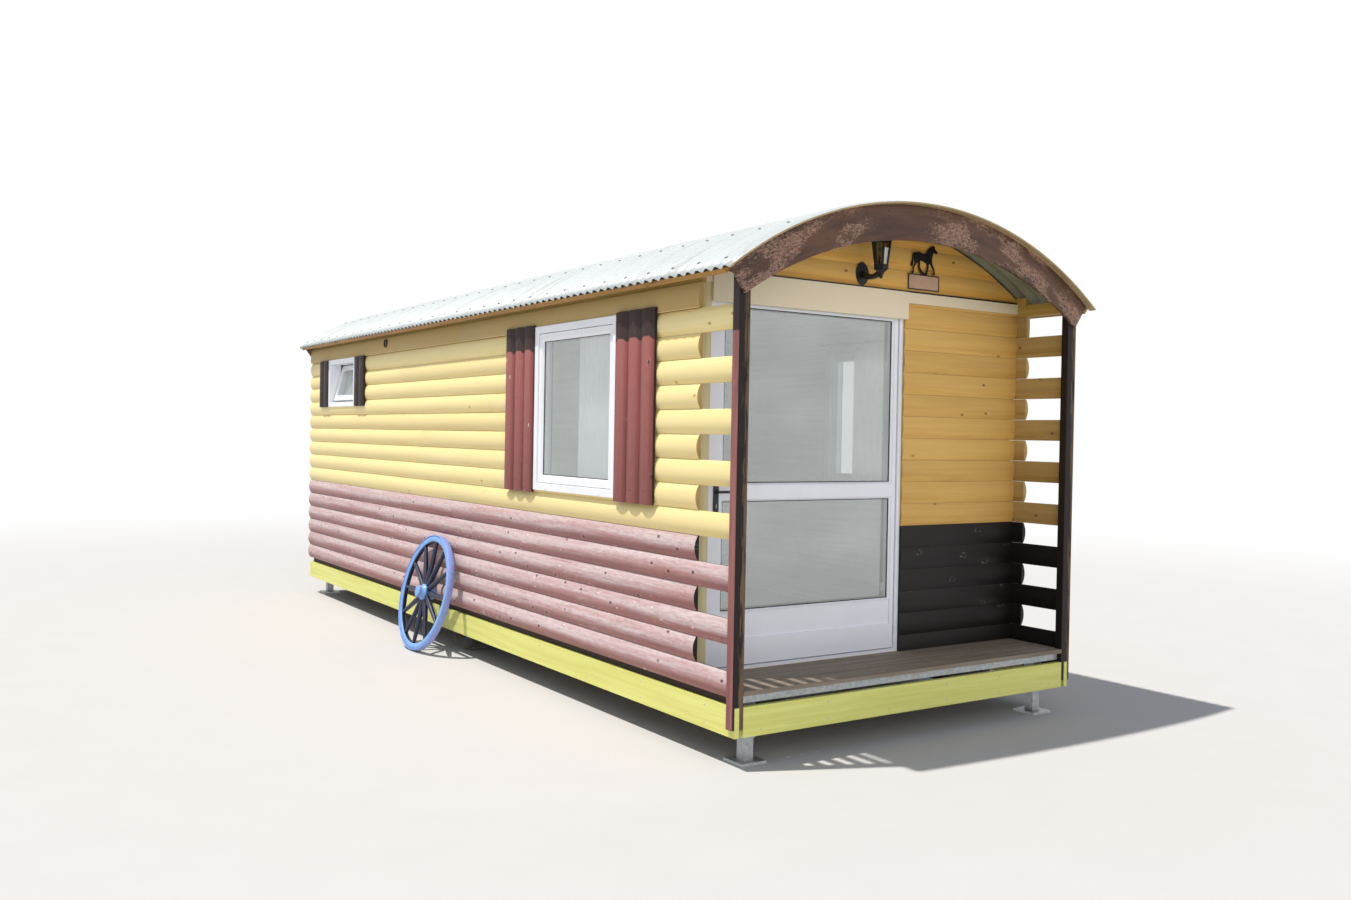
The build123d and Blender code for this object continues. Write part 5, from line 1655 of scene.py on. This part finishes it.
# %% Sizes and forms of the lantern
lantern_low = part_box("lantern")[0]
plate_width, plate_height, plate_depth = 0.097, 0.133, 0.006
lantern_x = lantern_low.x - centre + plate_width / 2
plate_z = clad_high + 0.152
plate_y = porch_depth - 0.0003
foot_z = plate_z + 0.008
lantern_y = porch_depth - 0.150
cage_foot, cage_head, cage_height = 0.036, 0.054, 0.150
ring_height, roof_top, roof_rise = 0.005, 0.016, 0.045
bar_half = 0.0044


def gable_plane(along, depth, height):
    return place(along, plate_y - depth, height)


def hexagon(radius, height):
    turns = [radians(60 * corner) for corner in range(6)]
    return [place(lantern_x + radius * cos(turn), lantern_y + radius * sin(turn), height) for turn in turns]


def six_sided(mesh, levels, whole=False):
    """A closed six-sided form from (radius, height) levels."""
    rings = [[mesh.verts.new(point) for point in hexagon(radius, height)] for radius, height in levels]
    skin(mesh, rings, whole)


def six_sided_ring(mesh, low, high, inner, outer):
    """A six-sided frame, open in the middle."""
    six_sided(mesh, ((inner, low), (outer, low), (outer, high), (inner, high)), True)


def pointed_outline(scale, count=14):
    """Two arcs that meet in a point above and below."""
    half_high, half_wide = plate_height / 2 * scale, plate_width / 2 * scale
    radius = (half_high ** 2 + half_wide ** 2) / (2 * half_wide)
    swing = asin(half_high / radius)
    right = [
        (half_wide - radius + radius * cos(turn), radius * sin(turn))
        for turn in (-swing + 2 * swing * step / count for step in range(count))
    ]
    return right + [(-x, -z) for x, z in right]


print(f"the cage is {1000 * cage_height:.0f} mm high and widens from {cage_foot} to {cage_head} m")

# %% [markdown]
# The wall plate is its outline repeated at a few depths, each time a little smaller, which gives the dome.
# The arm is drawn along a curve that sags between the plate and the cage, and thins towards its middle.

# %% Wall plate, arm and drop
mesh = bmesh.new()
levels = ((1.0, 0.0), (1.0, 0.0022), (0.93, 0.0034), (0.86, 0.0030), (0.6, 0.0046), (0.3, 0.0056))
rings = [
    [mesh.verts.new(gable_plane(lantern_x + x, depth, plate_z + z)) for x, z in pointed_outline(scale)]
    for scale, depth in levels
]
skin(mesh, rings)
for height in (-0.036, 0.036):
    turned(
        mesh, [(0.0, 0.0), (0.0, 0.004), (0.0012, 0.0032), (0.0018, 0.0)],
        gable_plane(lantern_x, plate_depth - 0.0022, plate_z + height), (0, -1, 0), 10,
    )
arm_start = plate_y - plate_depth + 0.002
arm_reach, arm_sag, arm_rise = arm_start - lantern_y, 0.022, 0.008
arm = []
for share in (step / 18 for step in range(19)):
    height = plate_z + (-arm_sag * 4 * share * (1 - share) + arm_rise * share) - 0.012 * share
    arm.append(place(lantern_x, arm_start - share * arm_reach, height))
drawn(mesh, arm, round_section(0.0150, 12), taper=lambda share: 1.35 - 0.7 * share * (1 - share) * 2)
turned(
    mesh, [
        (0.0, 0.0), (0.0, cage_foot * 0.90), (-0.003, cage_foot * 0.92), (-0.008, cage_foot * 0.78),
        (-0.014, 0.020), (-0.022, 0.0125), (-0.028, 0.008), (-0.033, 0.0072), (-0.037, 0.0098),
        (-0.041, 0.0100), (-0.045, 0.0066), (-0.048, 0.0052), (-0.0505, 0.003), (-0.052, 0.0),
    ],
    place(lantern_x, lantern_y, foot_z), (0, 0, 1), 24,
)
print("plate, arm and drop have", len(mesh.faces), "faces")

# %% [markdown]
# The cage stands on one six-sided ring and carries another, with a bar on each corner. A small roof closes
# it, and a finial, a candle and its bulb are turned on the same upright line.

# %% Cage, roof, candle and panes
head_z = foot_z + cage_height
eave_z = head_z + ring_height
six_sided_ring(mesh, foot_z, foot_z + ring_height, cage_foot * 0.55, cage_foot)
six_sided_ring(mesh, foot_z, foot_z + 0.026, cage_foot * 0.92, cage_foot + 0.0045)
six_sided_ring(mesh, head_z, eave_z, cage_head - 0.010, cage_head + ring_height)
bar_feet = hexagon(cage_foot - bar_half, foot_z + ring_height)
bar_heads = hexagon(cage_head - bar_half, head_z)
bar_section = [(-bar_half, -bar_half), (bar_half, -bar_half), (bar_half, bar_half), (-bar_half, bar_half)]
for ends in zip(bar_feet, bar_heads):
    drawn(mesh, ends, bar_section, up=(1, 0, 0))
top_z = eave_z + roof_rise
six_sided(mesh, (
    (cage_head - 0.004, eave_z), (cage_head, eave_z + 0.003), (cage_head * 0.82, eave_z + 0.016),
    (cage_head * 0.52, eave_z + 0.030), (roof_top * 1.05, top_z - 0.004), (roof_top, top_z),
))
finial = [
    (0, 0), (0, 0.011), (0.002, 0.0125), (0.004, 0.007), (0.0055, 0.0075), (0.0085, 0.0055), (0.0098, 0),
]
candle = [(0, 0), (0, 0.011), (0.006, 0.0095), (0.058, 0.0085), (0.062, 0.007), (0.062, 0)]
bulb = [
    (0.062, 0), (0.062, 0.006), (0.070, 0.0085), (0.080, 0.0125), (0.092, 0.0130), (0.104, 0.0085),
    (0.114, 0.003), (0.117, 0),
]
for material, (profile, height) in enumerate(
    ((finial, top_z - 0.002), (candle, foot_z + 0.001), (bulb, foot_z))
):
    turned(mesh, profile, place(lantern_x, lantern_y, height), (0, 0, 1), 16, material=material)
candle_cream = plain_finish("candle_cream", "E8DFC6", "B9A986", 0.4, 40, 300, 0.5, 0.1, 0.0003)
bulb_white = plain_finish("bulb_white", "F2F0E6", "D8D4C4", 0.3, 40, 300, 0.2, 0.02, 0.0002)
add_piece(
    finished_mesh(mesh, "coach_lantern", 40), (black_iron, candle_cream, bulb_white),
    ["lantern"],
)
mesh = bmesh.new()
pane_thickness, pane_inset, bar_share = 0.0015, 0.004, 0.07
for side in range(6):
    inner = []
    for radius, height in ((cage_foot, foot_z + ring_height), (cage_head, head_z)):
        points = hexagon(radius - pane_inset, height)
        first, second = points[side], points[(side + 1) % 6]
        inner.append((first.lerp(second, bar_share), second.lerp(first, bar_share)))
    quad = [inner[0][0], inner[0][1], inner[1][1], inner[1][0]]
    out = (quad[1] - quad[0]).cross(quad[3] - quad[0]).normalized() * pane_thickness
    points = [mesh.verts.new(point) for point in quad] + [mesh.verts.new(point - out) for point in quad]
    for ring in ((0, 1, 2, 3), (7, 6, 5, 4), (0, 4, 5, 1), (1, 5, 6, 2), (2, 6, 7, 3), (3, 7, 4, 0)):
        mesh.faces.new([points[corner] for corner in ring])
add_piece(finished_mesh(mesh, "lantern_panes", 30), (lantern_glass,))

# %% [markdown]
# Beside the lantern hangs a flat iron figure of a walking horse on a small framed plate. A closed Bezier
# curve with automatic handles turns a few points into a soft outline, and a flat curve with some
# extrusion is already a cut sheet. The outline is drawn facing right on a grid a hundred units high, and
# then scaled to its height on the wall. The plate under it is left plain.

# %% Horse figure and plain plate
horse_outline = (
    (12, 70), (23, 72), (35, 75), (46, 74), (57, 70), (67, 71), (74, 76), (79, 85), (88, 93),
    (101, 100), (109, 100), (111, 92), (118, 86), (123, 81), (120, 76), (113, 77), (105, 78), (101, 69),
    (98, 58), (98, 48), (101, 39), (107, 28), (111, 17), (111, 6), (105, 4), (106, 16), (100, 27),
    (90, 38), (85, 40), (83, 28), (78, 11), (73, 0), (66, 0), (71, 12), (75, 26), (74, 38),
    (63, 43), (50, 47), (43, 47), (43, 37), (42, 27), (50, 16), (60, 7), (63, 0), (57, 0),
    (48, 6), (38, 17), (34, 27), (35, 38), (29, 39), (23, 31), (16, 23), (15, 13), (12, 3),
    (5, 3), (9, 12), (10, 23), (17, 33), (17, 45), (16, 55), (18, 63), (14, 57), (11, 41),
    (8, 28), (3, 25), (0, 31), (5, 45), (7, 60),
)
horse_height, horse_left, horse_foot = 0.172, 0.279, 2.5345
plate_span, plate_levels = (0.262, 0.509), (2.447, 2.536)
sheet_iron = 0.003
unit = horse_height / 100


def flat_curve(points, thickness, soft):
    curve = bpy.data.curves.new("outline", "CURVE")
    curve.dimensions, curve.fill_mode = "2D", "BOTH"
    curve.extrude, curve.bevel_depth, curve.bevel_resolution = thickness / 2 - soft, soft, 1
    curve.resolution_u = 5
    spline = curve.splines.new("BEZIER")
    spline.bezier_points.add(len(points) - 1)
    spline.use_cyclic_u = True
    for point, (x, y) in zip(spline.bezier_points, points):
        point.co = (x, y, 0)
        point.handle_left_type = point.handle_right_type = "AUTO"
    return curve


curve = flat_curve([(x * unit, y * unit) for x, y in horse_outline], sheet_iron, 0.0005)
figure_mesh = evaluated_mesh(put_in_scene("holder", curve))
lifted = gable_plane(horse_left, 0.0045, horse_foot)
figure_mesh.transform(Matrix.Translation(lifted) @ Matrix.Rotation(pi / 2, 4, "X"))
mesh = bmesh.new()
mesh.from_mesh(figure_mesh)
bar = 0.0055
frame_profile = [(0.0, 0.0), (0.0, sheet_iron), (bar, sheet_iron), (bar, 0.0)]
mitred(mesh, lambda a, d, b: gable_plane(a, 0.003 + d, b), (*plate_span, *plate_levels), frame_profile)
box_at(
    mesh, gable_plane, (plate_span[0] + bar, plate_span[1] - bar), (0.0034, 0.0044),
    (plate_levels[0] + bar, plate_levels[1] - bar), 1,
)
for a in (plate_span[0] + 0.012, plate_span[1] - 0.012):
    for b in (plate_levels[0] + 0.012, plate_levels[1] - 0.012):
        turned(
            mesh, [(0.0, 0.0), (0.0, 0.0028), (0.0012, 0.0022), (0.0016, 0.0)],
            gable_plane(a, 0.0044, b), (0, -1, 0), 8,
        )
spacer = [(0.0, 0.0), (0.0, 0.004), (0.0045, 0.004), (0.0045, 0.0)]
for a, b in ((0.055, 0.105), (0.145, 0.095)):
    turned(mesh, spacer, gable_plane(horse_left + a, 0.0, horse_foot + b), (0, -1, 0), 8)
plate_field = plain_finish("plate_field", "C9A68A", "A37F60", 0.5, 18, 300, 0.6, 0.2, 0.0004)
add_piece(finished_mesh(mesh, "horse_figure_and_plate", 40), (black_iron, plate_field))

# %% [markdown]
# The view of the photograph comes from the left of the porch, 1.59 m above the ground. Its direction was
# worked out from where the edges of the wagon meet at the horizon, so the camera is given as three axes and
# a place, with a plain lens and no shift.

# %% The camera
camera_right = Vector((0.8345, -0.5507, 0.0179))
camera_up = Vector((-0.0081, 0.0202, 0.9998))
camera_back = camera_right.cross(camera_up).normalized()
camera_up = camera_back.cross(camera_right).normalized()
camera_data = bpy.data.cameras.new("camera")
camera_data.lens, camera_data.sensor_width = 30.83, 36
camera = put_in_scene("camera", camera_data)
facing = Matrix((camera_right, camera_up, camera_back)).transposed().to_4x4()
camera.matrix_world = Matrix.Translation(place(-4.468, -4.384, 1.586)) @ facing
bpy.context.scene.camera = camera
print("camera at", [round(value, 2) for value in camera.location])

# %% [markdown]
# The floor and the backdrop are one pale sheet that turns white with the distance, while the wagon still
# casts its shadow on it near by. The world is white for rays that come from the camera, from a mirror or
# through glass, and lights the wagon with a dimmer, slightly blue sky.

# %% Floor, backdrop and sky
def ray_is(nodes, *kinds):
    """1 for a ray of one of these kinds, else 0."""
    path = nodes.add("ShaderNodeLightPath").socket.node
    found = Wire(nodes, path.outputs[kinds[0]])
    for kind in kinds[1:]:
        found = nodes.math("MAXIMUM", found, Wire(nodes, path.outputs[kind]))
    return found


def backdrop_finish():
    material, nodes = new_finish("pale_floor")
    seen = ray_is(nodes, "Is Glossy Ray", "Is Transmission Ray")
    spot = nodes.own_place()
    away = nodes.add("ShaderNodeVectorMath", {"operation": "LENGTH"}, {0: spot}, 1)
    far = nodes.math("MAXIMUM", nodes.step(away, 5.5, 15.0), seen * 0.6)
    shade = nodes.mix(nodes.noise(spot, 3, 4), colour("C3C2C1"), colour("C7C6C5"))
    matt = nodes.add("ShaderNodeBsdfDiffuse", (), {"Color": shade})
    glow = nodes.add("ShaderNodeEmission", (), {"Color": white, "Strength": 1.0})
    mixed = nodes.add("ShaderNodeMixShader", (), {0: far, 1: matt, 2: glow})
    nodes.add("ShaderNodeOutputMaterial", (), {"Surface": mixed})
    return material


floor_mesh = bpy.data.meshes.new("floor")
reach = 60.0
floor_mesh.from_pydata(
    [(-reach, -reach, 0), (reach, -reach, 0), (reach, reach, 0), (-reach, reach, 0)], [], [(0, 1, 2, 3)]
)
floor_mesh.materials.append(backdrop_finish())
floor = put_in_scene("floor", floor_mesh)

world = bpy.data.worlds.new("sky")
world.use_nodes = True
bpy.context.scene.world = world
sky = Nodes(world.node_tree)
world.node_tree.nodes.clear()
seen = ray_is(sky, "Is Camera Ray", "Is Glossy Ray", "Is Transmission Ray")
lighting = sky.add("ShaderNodeBackground", (), {"Color": colour("DDE6F8"), "Strength": 0.5})
behind = sky.add("ShaderNodeBackground", (), {"Color": white, "Strength": 1.0})
mixed = sky.add("ShaderNodeMixShader", (), {0: seen, 1: lighting, 2: behind})
sky.add("ShaderNodeOutputWorld", (), {"Surface": mixed})
print("floor reaches", reach, "m each way")

# %% [markdown]
# The sun stands high on the left of the camera, small enough for a sharp shadow. A second, very wide lamp
# from the front lifts the shaded porch, as light from the ground and the sky does outdoors.

# %% Sun and fill
def sun(name, towards, strength, angle, tint):
    light = bpy.data.lights.new(name, "SUN")
    light.energy, light.angle, light.color = strength, radians(angle), colour(tint)[:3]
    lamp = put_in_scene(name, light)
    lamp.rotation_euler = Vector(towards).to_track_quat("-Z", "Y").to_euler()


sun("key", (0.345, -0.15, -0.925), 4.0, 1.2, "FFFAF2")
sun("fill", (0.35, 0.90, -0.25), 0.9, 50, "FBF8F4")
bpy.context.scene.view_settings.view_transform = "Standard"
print("lamps:", [light.name for light in bpy.data.lights])

# %% [markdown]
